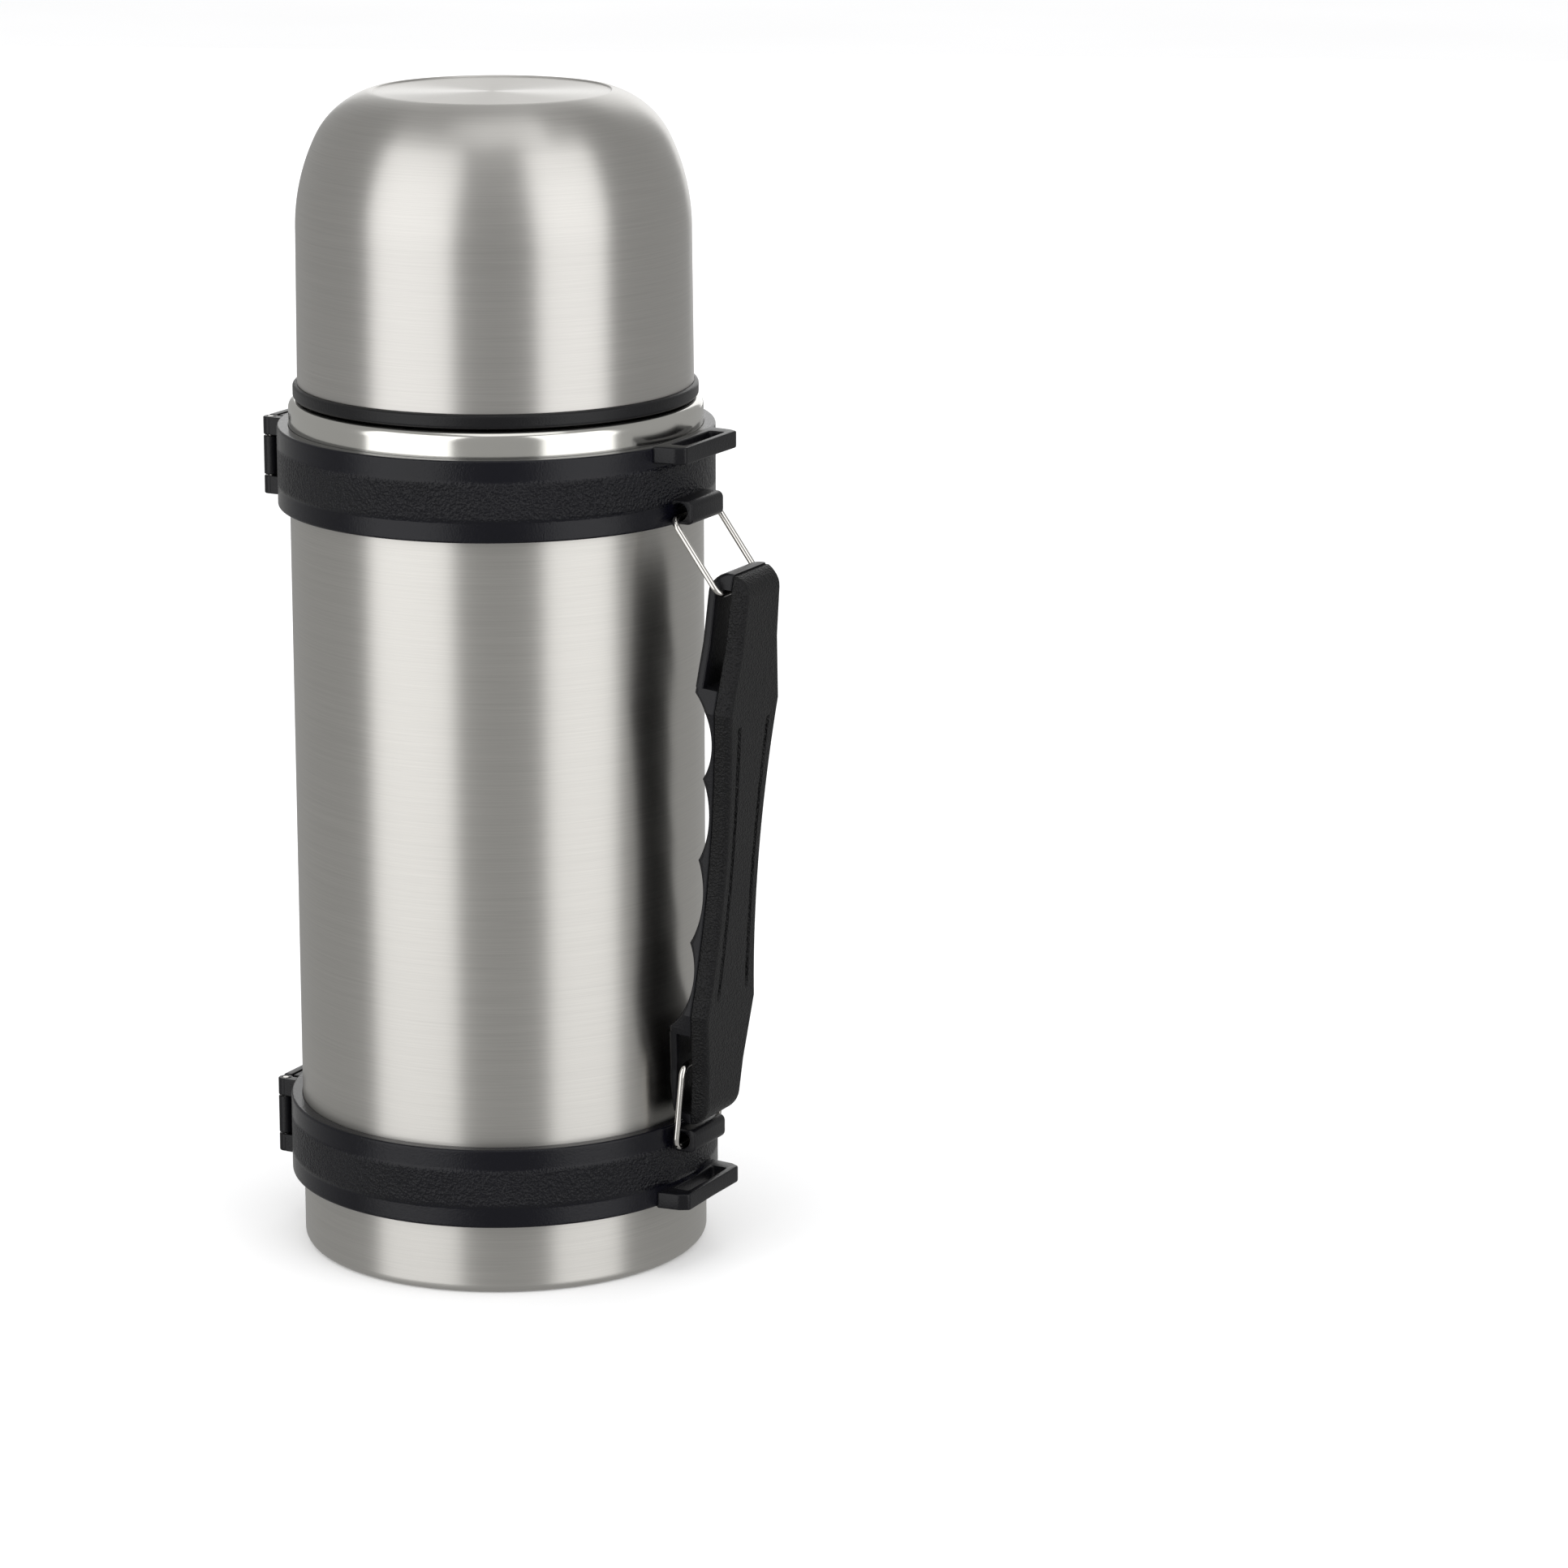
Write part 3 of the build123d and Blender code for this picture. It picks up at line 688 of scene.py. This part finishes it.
def strapLoop(which, low, high):
    # a plate round the strap slot that grows out of the ring
    d = loop
    root = 52.6
    outer = smoothOutline([
        (root, -15.4, 0.3), (d["front"] - d["taper"], -d["half"], 1.2), (d["front"], -d["half"] + 1.35, 0.8),
        (d["front"], d["half"] - 1.35, 0.8), (d["front"] - d["taper"], d["half"], 1.2), (root, 15.4, 0.3)])
    slot = smoothOutline([
        (d["x0"], -d["slotHalf"], 0.6), (d["x1"], -d["slotHalf"], 0.6),
        (d["x1"], d["slotHalf"], 0.6), (d["x0"], d["slotHalf"], 0.6)])
    x, y, z = holedPlate(outer, slot, low, high, d["edge"])
    return gridMesh(which + "StrapLoop", np.stack([x, y, z], -1), closedRows=True)


def wireLug(which, holeZ, low, high):
    # a block across the band, rounded in front, with the loose hole for the wire
    d = lug
    outer = smoothOutline([
        (52.6, low, 0.2), (d["front"], low, d["round"]), (d["front"], high, d["round"]), (52.6, high, 0.2)])
    t = np.linspace(0, tau, 48, endpoint=False)
    hole = np.stack([d["holeX"] + d["hole"] * np.cos(t), holeZ + d["hole"] * np.sin(t)], 1)
    x, z, y = holedPlate(outer, hole, -d["half"], d["half"], d["edge"])
    return gridMesh(which + "WireLug", np.stack([x, y, z], -1)[:, ::-1], closedRows=True)


def boxAlongY(name, outX, inX, y0, y1, z0, z1, edge, relief=None, between=30, faceSteps=9, soft=0.25):
    # a rounded box carried along y; its low face is the outer one, at outX
    stations, draw = roundedEnds(y0, y1, edge, between=between)
    s, b, c = carried(stations, outX + draw, inX - draw * 0.4, (z1 - z0) / 2 - draw, edge, soft,
                      faceSteps, (z0 + z1) / 2, relief)
    return gridMesh(name, capped(np.stack([b, s, c], -1)))


def claspSeat(which, low, high):
    # the flat under the lever
    d = clasp
    return boxAlongY(which + "ClaspSeat", d["seat"], -50.5, -15, 19, low + 0.6, high - 0.6, 0.35)


def knuckles(which, low, high):
    # two barrels of the band, each joined to it by a short arm
    d = clasp
    pieces = []
    for k, z in enumerate((low + 0.3, high - 0.3 - d["knuckleTall"])):
        barrel = smoothOutline([
            (0.92, z, 0.15), (d["knuckle"], z, 0.3), (d["knuckle"], z + d["knuckleTall"], 0.3),
            (0.92, z + d["knuckleTall"], 0.15)])
        pieces.append(turned(f"{which}BandKnuckle{k}", barrel, 40, centre=(d["x"], d["y"])))
        pieces.append(boxAlongY(
            f"{which}KnuckleArm{k}", d["x"] + 0.5, -50.0, d["y"] - d["knuckle"], d["y"] + 0.9,
            z, z + d["knuckleTall"], 0.25, between=6, faceSteps=4))
    return pieces


def ovalLines(middle):
    # four upright ovals: how deep a point lies in the thin line round its nearest oval
    d = clasp

    def depth(y, z):
        nearest = np.clip(np.round((y - d["firstOval"]) / d["ovalPitch"]), 0, d["ovals"] - 1)
        dy = np.abs(y - d["firstOval"] - nearest * d["ovalPitch"])
        dz = np.maximum(np.abs(z - middle) - (d["ovalTall"] - d["ovalWide"]), 0)
        away = np.abs(np.hypot(dy, dz) - d["ovalWide"])
        return d["depth"] * np.clip(1.35 - away / d["line"], 0, 1)
    return depth


def claspLever(which, low, high, rideBody):
    # cover plate with four oval lines, middle knuckle, arm and catch
    d = clasp
    middle = (low + high) / 2
    barrelLow, barrelHigh = low + 0.6 + d["knuckleTall"], high - 0.6 - d["knuckleTall"]
    cover = boxAlongY(
        which + "ClaspCover", d["coverOut"], d["coverIn"], d["coverStart"], d["coverEnd"], low + 0.4,
        high - 0.4, 0.6, ovalLines(middle), between=230, faceSteps=120)
    moulded(cover, rideBody, which + "_clasp_lever")
    barrel = smoothOutline([
        (0.98, barrelLow, 0.15), (d["knuckle"], barrelLow, 0.3), (d["knuckle"], barrelHigh, 0.3),
        (0.98, barrelHigh, 0.15)])
    moulded(turned(which + "LeverKnuckle", barrel, 40, centre=(d["x"], d["y"])), rideBody)
    arm = boxAlongY(which + "LeverArm", -57.15, d["coverIn"], d["y"] + 0.2, d["coverStart"] + 0.8,
                    barrelLow, barrelHigh, 0.3, between=6, faceSteps=4)
    moulded(arm, rideBody)
    catch = boxAlongY(which + "LeverCatch", -55.5, -53.9, 19.3, d["coverEnd"], low + 1.2, high - 1.2, 0.3,
                      between=6, faceSteps=6)
    moulded(catch, rideBody)


def hingePin(which, low, high):
    # a plain pin with eased ends
    pin = smoothOutline([
        (0, low + 0.3, 0), (0.9, low + 0.3, 0.25), (0.9, high - 0.3, 0.25), (0, high - 0.3, 0)], closed=False)
    piece = turned(which + "HingePin", pin, 28, closed=False, centre=(clasp["x"], clasp["y"]))
    fit(piece, "wire", "root", "polished_wire", which + "_clasp_pin")


def makeBand(which, loopLevels, lugLevels, holeZ):
    low, high = bandSize[which]
    fit(bandRing(which, low, high), "bandBlack", "root", "satin_black", which + "_band")
    pieces = [strapLoop(which, *loopLevels), wireLug(which, holeZ, *lugLevels), claspSeat(which, low, high)]
    for piece in pieces + knuckles(which, low, high):
        moulded(piece, "root")
    claspLever(which, low, high, which + "_clasp")
    hingePin(which, low, high)


upperBase, lowerBase = bandSize["upper"][0], bandSize["lower"][0]
makeBand("upper", (upperHigh[2] - 4.2, upperHigh[2]), (upperBase + 0.4, upperBase + 6.4), upperBase + 3.4)
makeBand("lower", (lowerLow[2], lowerLow[2] + 4.2), (lowerBase + 13.0, lowerBase + 19.0), lowerBase + 16.0)
print("bands made")


# ---- wire links ----

link = {"wire": 0.8, "length": 22.0, "half": 11.4, "round": 2.6, "lowerLean": 5.74}


def wireLink(name, pivot, way, rideBody, node):
    # a closed rounded rectangle of wire from the lug to the handle; (u, y) in the link's own plane
    d = link
    flatPath = smoothOutline([
        (0, -d["half"], d["round"]), (d["length"], -d["half"], d["round"]),
        (d["length"], d["half"], d["round"]), (0, d["half"], d["round"])], steps=12)
    path = evenLoop(flatPath, 260)
    places = np.stack([pivot[0] + path[:, 0] * way[0], path[:, 1], pivot[2] + path[:, 0] * way[1]], 1)
    piece = tube(name, places, d["wire"], (way[1], 0, -way[0]))
    fit(piece, "wire", rideBody, "polished_wire", node)


upperPivot = jointPlace("upper_link_swing")
lowerPivot = jointPlace("lower_link_swing")
topWire = jointPlace("handle_tilt")
upperWay = (topWire - upperPivot)[[0, 2]] / link["length"]
lean = math.radians(link["lowerLean"])
wireLink("upperWireLink", upperPivot, upperWay, "upper_link", "upper_bail")
wireLink("lowerWireLink", lowerPivot, (math.sin(lean), math.cos(lean)), "lower_link", "lower_bail")
print("wire links made")


# ---- handle ----

handle = {
    "length": 143.5, "topWire": 5.2, "tilt": 5.026, "back": 6.6, "thick": 11.0, "parting": 4.4,
    "endRound": 5.5, "endHalf": 9.2, "kink": 34.7, "kinkHalf": 13.7, "waist": 74.0, "waistHalf": 10.0,
    "slots": ((4.0, 29.0), (119.0, 140.6)), "slotFar": 8.6, "gripStart": 30.5, "gripEnd": 117.5,
    "tips": (52.6, 74.0, 95.4), "tipDepth": 8.0, "hollow": 5.4, "grooveHalf": 0.62, "grooveDeep": 0.95,
    "grooveStart": 38.5, "grooveEnd": 109.5}


def circleThrough(s, start, middle, end):
    # the height at s of the arc through three points
    (x1, y1), (x2, y2), (x3, y3) = start, middle, end
    k = 2 * (x1 * (y2 - y3) + x2 * (y3 - y1) + x3 * (y1 - y2))
    q1, q2, q3 = x1 * x1 + y1 * y1, x2 * x2 + y2 * y2, x3 * x3 + y3 * y3
    cx = (q1 * (y2 - y3) + q2 * (y3 - y1) + q3 * (y1 - y2)) / k
    cy = (q1 * (x3 - x2) + q2 * (x1 - x3) + q3 * (x2 - x1)) / k
    radius = math.hypot(x1 - cx, y1 - cy)
    side = 1 if y2 > cy else -1
    return cy + side * np.sqrt(np.maximum(radius * radius - (s - cx) ** 2, 0))


def halfWidth(s):
    # narrow at the ends, widest at the kinks and drawn in to the waist between them
    d = handle
    far = 2 * d["waist"] - d["kink"]
    ends = np.interp(s, (0, 18, d["kink"], far, 129.5, d["length"]),
                     (d["endHalf"], 10.3, d["kinkHalf"], d["kinkHalf"], 10.4, d["endHalf"]))
    middle = circleThrough(s, (d["kink"], d["kinkHalf"]), (d["waist"], d["waistHalf"]), (far, d["kinkHalf"]))
    return np.where((s > d["kink"]) & (s < far), middle, ends)


def innerDepth(s):
    # depth of the inner face: end blocks, then four finger hollows between three tips
    d = handle
    depth = np.interp(s, (0, 132, d["length"] - d["endRound"]), (d["thick"], d["thick"], d["thick"] - 1.2))
    edges = (d["gripStart"], *d["tips"], d["gripEnd"])
    for k, (a, b) in enumerate(zip(edges[:-1], edges[1:])):
        ya = d["thick"] if k == 0 else d["tipDepth"]
        yb = d["thick"] if k == len(edges) - 2 else d["tipDepth"]
        middle = (41.0, 63.3, 84.7, 107.0)[k]
        arc = circleThrough(s, (a, ya), (middle, d["hollow"]), (b, yb))
        depth = np.where((s > a) & (s < b), arc, depth)
    return depth


def endRounding(s):
    # how much of the thickness is left near both ends: a half ellipse over the end's length
    d = handle
    away = np.minimum(s, d["length"] - s)
    t = np.clip((d["endRound"] - away) / d["endRound"], 0, 1)
    return np.sqrt(np.maximum(1 - t * t, 0))


def intoPlace(s, t, y):
    # from along and through the handle to the resting place, turned by the tilt about the top wire
    d = handle
    a = math.radians(d["tilt"])
    x, z = d["back"] - t, d["topWire"] - s
    return np.stack([topWire[0] + x * math.cos(a) + z * math.sin(a), y,
                     topWire[2] - x * math.sin(a) + z * math.cos(a)], -1)


def handleStations(extra):
    # evenly along the handle, closer at both ends, at every kink and on both sides of each slot wall
    d = handle
    t = np.linspace(0, math.pi / 2, 9)
    end = d["endRound"] * (1 - np.cos(t))
    even = np.arange(d["endRound"], d["length"] - d["endRound"], 0.7)
    near = [np.array([x - 0.25, x - 0.02, x + 0.02, x + 0.25]) for x in extra]
    return np.unique(np.concatenate([end, d["length"] - end, even, *near]))


def grooveRelief(s, y):
    # two long shallow grooves that follow the waist
    d = handle
    line = circleThrough(s, (d["grooveStart"], 7.7), (d["waist"], 5.8), (d["grooveEnd"], 7.7))
    away = np.abs(np.abs(y) - line)
    along = np.clip((s - d["grooveStart"]) / 0.8, 0, 1) * np.clip((d["grooveEnd"] - s) / 0.8, 0, 1)
    return d["grooveDeep"] * along * np.clip((d["grooveHalf"] + 0.2 - away) / 0.4, 0, 1)


def makeHandle():
    d = handle
    wallEdges = [x for slot in d["slots"] for x in slot]
    s = handleStations([d["kink"], 2 * d["waist"] - d["kink"], d["gripStart"], d["gripEnd"], *d["tips"],
        *wallEdges])
    depth = innerDepth(s)
    left = endRounding(s)
    middle = depth / 2
    outerFace = middle * (1 - left)
    innerFace = middle + (depth - middle) * left
    half = halfWidth(s) - 0.8 * (1 - left)

    keep = outerFace < d["parting"] - 0.05
    st, b, c = carried(s[keep], outerFace[keep], np.full(keep.sum(), d["parting"]), half[keep], 1.5, 0.4,
                       faceSteps=64, relief=grooveRelief)
    back = gridMesh("handleBack", capped(intoPlace(st, b, c)[:, ::-1]))
    fit(back, "handleBlack", "handle", "satin_black", "handle_outer")

    keep = innerFace > d["parting"] + 0.05
    s, innerFace, half = s[keep], innerFace[keep], half[keep]
    nearFace = np.full(len(s), d["parting"])
    for start, stop in d["slots"]:
        nearFace[(s > start) & (s < stop)] = d["slotFar"]
    nearFace = np.minimum(nearFace, innerFace - 0.6 * np.minimum(1, innerFace - d["parting"]))
    st, b, c = carried(s, nearFace, innerFace, half, 0.4, 1.6, faceSteps=14)
    grip = gridMesh("handleGrip", capped(intoPlace(st, b, c)[:, ::-1]))
    fit(grip, "gripBlack", "handle", "satin_black", "handle_grip")


makeHandle()
print("handle made")


# ---- cup ----

cupLow, cupHigh = span("cup_shell")
rimLow, rimHigh = span("cup_liner")
cup = {
    "radius": 49.65, "upper": 49.3, "sideTop": 262.0, "wall": 0.4, "crown": 30.5, "step": 0.4,
    "top": cupHigh[2],
    "edge": cupLow[2], "rim": rimHigh[0], "rimLow": rimLow[2], "rimTall": 4.0, "linerWall": 0.8,
    "mouth": 48.4, "ridges": (248.0, 243.6, 239.2), "ridge": 47.2}


def cupPath(sideInset, topInset, bottom):
    # side, then two tangent arcs over the shoulder to the edge of the flat crown
    d = cup
    turnPoint = (44.0 - 0.9 * sideInset, 284.8 - 0.44 * topInset)
    haunch, leave = arcOnto((d["upper"] - sideInset, d["sideTop"]), (0, 1), turnPoint, 26)
    crown, _ = arcOnto(turnPoint, leave, (d["crown"] - 0.2 * sideInset, d["top"] - topInset), 26)
    return [(d["radius"] - sideInset, bottom, 0),
        (d["upper"] - sideInset, d["sideTop"] - 1.0, 0)] + haunch + crown[1:]


def makeCup():
    # steel cup with a slightly sunk flat on top
    d = cup
    low = d["top"] - d["step"]
    crown = [(d["crown"] - 0.8, d["top"], 0.3), (d["crown"] - 1.2, low, 0.3), (0, low, 0)]
    path = smoothOutline(cupPath(0, 0, d["edge"]) + crown, closed=False)
    # from the inner pole, round the rim, to the outer pole
    wall = np.roll(wallOutline(path, d["wall"]), len(path), 0)
    fit(turned("cupShell", wall, 256, closed=False), "cupSteel", "cup", "brushed_steel_body", "cup_shell")
    gap = d["wall"] + 0.1
    rimTop = d["rimLow"] + d["rimTall"]
    outer = cupPath(gap, gap + d["step"], rimTop + 1.0) + [(0, d["top"] - gap - d["step"], 0)]
    thick = gap + d["linerWall"]
    inner = cupPath(thick, thick + d["step"], rimTop + 1.2)[::-1]
    side = [inner[k] for k in range(len(inner) - 2)]
    for z in d["ridges"]:
        side += [(48.25, z + 1.1, 0.4), (d["ridge"], z + 0.4, 0.35), (d["ridge"], z - 0.4, 0.35),
            (48.3, z - 1.1, 0.4)]
    rim = [(d["mouth"], rimTop + 1.0, 0.2), (d["mouth"], d["rimLow"], 0.5), (d["rim"], d["rimLow"], 0.9),
           (d["rim"], rimTop - 0.7, 0.7), (d["radius"] + 0.15, rimTop - 0.3, 0.15),
           (d["radius"] + 0.15, d["edge"] - 0.1, 0.05), (d["radius"] - gap, d["edge"] - 0.1, 0.05)]
    line = [(0, d["top"] - thick - d["step"], 0)] + side + rim + outer
    fit(turned("cupLiner", smoothOutline(line, closed=False), 256, closed=False), "rimBlack", "cup",
        "gloss_black", "cup_liner")


makeCup()
print("cup made")


# ---- screw collar and centre stopper ----

collarLow, collarHigh = span("stopper_collar")
collar = {
    "bore": 32.2, "foot": 35.2, "flare": 35.6, "top": collarHigh[2], "bottom": collarLow[2], "notches": 16,
    "notchWide": 2.3, "notchDeep": 0.7, "notchMiddle": 251.6, "sleeveIn": 25.0, "sleeveOut": 26.6}


def notchShape(radius, height, angle):
    # sixteen upright notches with round tops, pressed into the outer wall
    d = collar
    pitch = tau / d["notches"]
    turn = (angle / pitch) % 1.0 - 0.5
    across = np.abs(turn) * pitch * d["foot"]
    up = np.maximum(height - d["notchMiddle"] - 0.3, 0) + np.maximum(d["notchMiddle"] - 1.5 - height, 0)
    away = np.hypot(across, up) - d["notchWide"] / 2
    cut = np.clip(0.5 - away / 0.35, 0, 1)
    wall = (radius > d["foot"] - 0.35) & (height < d["notchMiddle"] + 3) & (height > d["bottom"] + 0.9)
    return radius - d["notchDeep"] * cut * wall


def makeCollar():
    d = collar
    skirtRise = [(d["flare"] - 0.02 * k, 250.2 + 0.28 * k, 0) for k in range(18)]
    corners = [(d["bore"], d["bottom"], 0.2), (34.4, d["bottom"], 0.4), (d["foot"], 249.7, 0.3)]
    corners += skirtRise + [(35.2, 261.3, 0.1), (34.95, 261.6, 0.1), (34.0, 272.8, 2.6),
        (31.9, d["top"], 1.6),
                            (30.1, d["top"], 0.3), (30.1, 275.0, 0.1), (27.5, 275.0, 0.1),
                            (27.5, d["top"], 0.3),
                            (d["sleeveIn"], d["top"], 0.4), (d["sleeveIn"], 244.0, 0.4),
                            (d["sleeveOut"], 244.0, 0.4),
                            (d["sleeveOut"], 272.4, 0.4), (d["bore"], 272.4, 0.6)]
    for z in (265.0, 259.5, 254.0):
        corners += [(d["bore"], z + 1.0, 0.2), (d["bore"] + 0.35, z + 0.3, 0.2),
            (d["bore"] + 0.35, z - 0.3, 0.2),
                    (d["bore"], z - 1.0, 0.2)]
    piece = turned("screwCollar", smoothOutline(corners), 768, shape=notchShape)
    fit(piece, "stopperBlack", "collar", "gloss_black", "stopper_collar")
    sealRing("collarSeal", "collar_seal", 26.8, (0.5, 0.9, 0.5, 0.5), 128, "collar")


stopper = {"well": 24.4, "floorLow": 271.0, "floorHigh": 273.0, "plug": 24.7, "casingLow": 245.0,
    "channel": 8.3}


def makeStopper():
    # top ring, two finger flanges, seat and floor, then the hollow plug below with its channel
    d = stopper
    outline = smoothOutline([
        (3.4, d["floorLow"], 0.2), (d["plug"], d["floorLow"], 0.1), (d["plug"], 276.2, 0.3),
        (30.6, 276.2, 0.2),
        (30.6, 278.2, 0.8), (31.7, 278.8, 0.4), (32.0, 279.4, 0.3), (31.8, 279.9, 0.3), (26.6, 280.5, 0.8),
        (26.6, 282.5, 0.8), (28.6, 283.1, 0.3), (28.9, 283.6, 0.25), (28.7, 284.1, 0.3), (26.4, 284.5, 0.5),
        (26.4, 287.5, 0.55), (d["well"], 287.5, 0.3), (d["well"], 280.0, 0.2), (23.0, 280.0, 0.3),
        (23.0, d["floorHigh"], 0.6), (3.4, d["floorHigh"], 0.2)])
    fit(turned("pourStopper", outline, 200), "stopperBlack", "pour_stopper", "gloss_black",
        "pour_stopper_body")
    casing = smoothOutline([
        (d["channel"], d["floorLow"], 0), (d["channel"], d["casingLow"], 0.6), (17, d["casingLow"], 1),
        (17.6, d["casingLow"] + 0.4, 0.4), (18.4, d["casingLow"] + 0.4, 0.4), (19, d["casingLow"], 1),
        (d["plug"], d["casingLow"], 1.1), (d["plug"], 259.0, 0.2), (d["plug"] - 0.2, 259.3, 0.2),
        (d["plug"] - 0.2, 260.0, 0.2), (d["plug"], 260.3, 0.2), (d["plug"], d["floorLow"], 0)])
    fit(turned("plugCasing", casing, 160), "stopperBlack", "pour_stopper", "gloss_black", "plug_casing")
    sealRing("plugSeal", "plug_seal", 27.8, (0.3, 0.3, 0.3, 0.3), 128, "pour_stopper")


_, buttonHigh = span("push_button")
button = {"rim": buttonHigh[0], "top": buttonHigh[2], "bottom": 284.6, "recess": 18.4, "hub": 6.0,
    "stem": 2.9}


def makeButton():
    # ring with a soft edge, recess, hub; then the pale disc and the valve on its stem
    d = button
    outline = smoothOutline([
        (0, 286.0, 0), (d["recess"], 286.0, 0.1), (d["recess"], d["top"], 0.35), (d["rim"], d["top"], 0.6),
        (d["rim"], d["bottom"], 0.3), (d["hub"], d["bottom"], 0.5), (d["hub"], 279.0, 0.4),
        (d["stem"], 279.0, 0.2), (d["stem"], 283.0, 0.1), (0, 283.0, 0)], closed=False)[::-1]
    fit(turned("pushButton", outline, 160, closed=False), "stopperBlack", "button", "gloss_black",
        "push_button")
    low, high = span("button_disc")
    disc = [(0, low[2], 0), (high[0], low[2], 0.1), (high[0], high[2], 0.35), (11.4, high[2], 0.3),
            (11.0, high[2] - 0.22, 0.2), (10.4, high[2] - 0.22, 0.2), (10.0, high[2], 0.3), (0, high[2], 0)]
    turnedPiece("buttonDisc", disc, 160, False, "pale", "button", "pale_disc", "button_disc")
    low, high = span("valve_stem")
    stem = [(0, low[2], 0), (high[0], low[2], 0.1), (high[0], high[2], 0.4), (0, high[2], 0)]
    turnedPiece("valveStem", stem, 48, False, "stopperBlack", "button", "gloss_black", "valve_stem")
    low, high = span("valve_head")
    head = [(0, low[2], 0), (high[0] - 1, low[2], 0.8), (high[0], low[2] + 0.9, 0.5), (high[0], high[2], 0.3),
            (0, high[2], 0)]
    turnedPiece("valveHead", head, 96, False, "stopperBlack", "button", "gloss_black", "valve_head")
    sealRing("valveSeal", "valve_seal", 3.0, (0.2, 0.3, 0.3, 0.2), 96, "button")


makeCollar()
makeStopper()
makeButton()
dress("valve_spring", "springWire")
dress("plug_foam", "foam")
print("stopper made")


# ---- floor, light and camera ----

studio = {"floorSize": 60.0, "azimuth": 30.0, "elevation": 12.85, "distance": 1.4, "targetHeight": 0.148,
          "yaw": 3.03, "pitch": 14.02, "lens": 126.5}
# the level that lights paper and plastic, and the darker room that steel mirrors between the boxes
roomLevels = {"open": (1.12, 1.12, 1.125, 1), "mirrored": (0.38, 0.38, 0.375, 1)}
# degrees round from the camera, distance, height, width and tallness in metres, then watts
lamps = {
    "leftBox": (-50, 1.6, 0.5, 1.65, 2.6, 18), "rightBox": (46, 1.6, 0.5, 1.35, 2.6, 14.5),
    "topBox": (20, 0.5, 2.6, 1.6, 1.6, 7), "backBox": (172, 2.4, 0.9, 1.6, 2.0, 9)}
lampAim = Vector((0, 0, 0.15))


def aroundCamera(degrees, distance, height):
    # a point at an angle from the camera's side, counted anticlockwise from above
    a = math.radians(studio["azimuth"] - 90 + degrees)
    return Vector((math.cos(a) * distance, math.sin(a) * distance, height))


def softbox(name, degrees, distance, height, wide, tall, power):
    lamp = bpy.data.lights.new(name, "AREA")
    lamp.shape, lamp.size, lamp.size_y, lamp.energy = "RECTANGLE", wide, tall, power
    item = bpy.data.objects.new(name, lamp)
    item.location = aroundCamera(degrees, distance, height)
    item.rotation_euler = (lampAim - item.location).to_track_quat("-Z", "Y").to_euler()
    bpy.context.scene.collection.objects.link(item)


def makeStage():
    side = studio["floorSize"] / 2
    mesh = bpy.data.meshes.new("floor")
    mesh.from_pydata([(-side, -side, 0), (side, -side, 0), (side, side, 0), (-side, side, 0)], [],
        [(0, 1, 2, 3)])
    floor = bpy.data.objects.new("floor", mesh)
    bpy.context.scene.collection.objects.link(floor)
    paper = Finish("floorPaper", Roughness=0.9)
    cloud = paper.noise(paper.place, 3.0, 2.0)
    paper.color(cloud, [(0.3, (0.88, 0.88, 0.88)), (0.7, (0.9, 0.9, 0.9))])
    mesh.materials.append(paper.material)
    floor.visible_glossy = False

    world = bpy.data.worlds.new("studio")
    bpy.context.scene.world = world
    world.use_nodes = True
    tree = world.node_tree
    path = tree.nodes.new("ShaderNodeLightPath")
    mix = tree.nodes.new("ShaderNodeMix")
    mix.data_type = "RGBA"
    mix.inputs["A"].default_value = roomLevels["open"]
    mix.inputs["B"].default_value = roomLevels["mirrored"]
    tree.links.new(path.outputs["Is Glossy Ray"], mix.inputs["Factor"])
    tree.links.new(mix.outputs["Result"], tree.nodes["Background"].inputs["Color"])

    for name, settings in lamps.items():
        softbox(name, *settings)


def makeCamera():
    # stands at the studio azimuth, and is turned a little off the flask so that it lies left of centre
    s = studio
    e = math.radians(s["elevation"])
    place = aroundCamera(0, s["distance"] * math.cos(e), s["targetHeight"] + s["distance"] * math.sin(e))
    heading = math.radians(s["azimuth"] - s["yaw"])
    p = math.radians(s["pitch"])
    forward = Vector((-math.sin(heading) * math.cos(p), math.cos(heading) * math.cos(p), -math.sin(p)))
    camera = bpy.data.cameras.new("camera")
    camera.lens, camera.sensor_width = s["lens"], 36
    item = bpy.data.objects.new("camera", camera)
    item.location = place
    item.rotation_euler = forward.to_track_quat("-Z", "Y").to_euler()
    bpy.context.scene.collection.objects.link(item)
    bpy.context.scene.camera = item


makeStage()
makeCamera()
bpy.context.scene.view_settings.view_transform = "Standard"
print("stage and camera made")
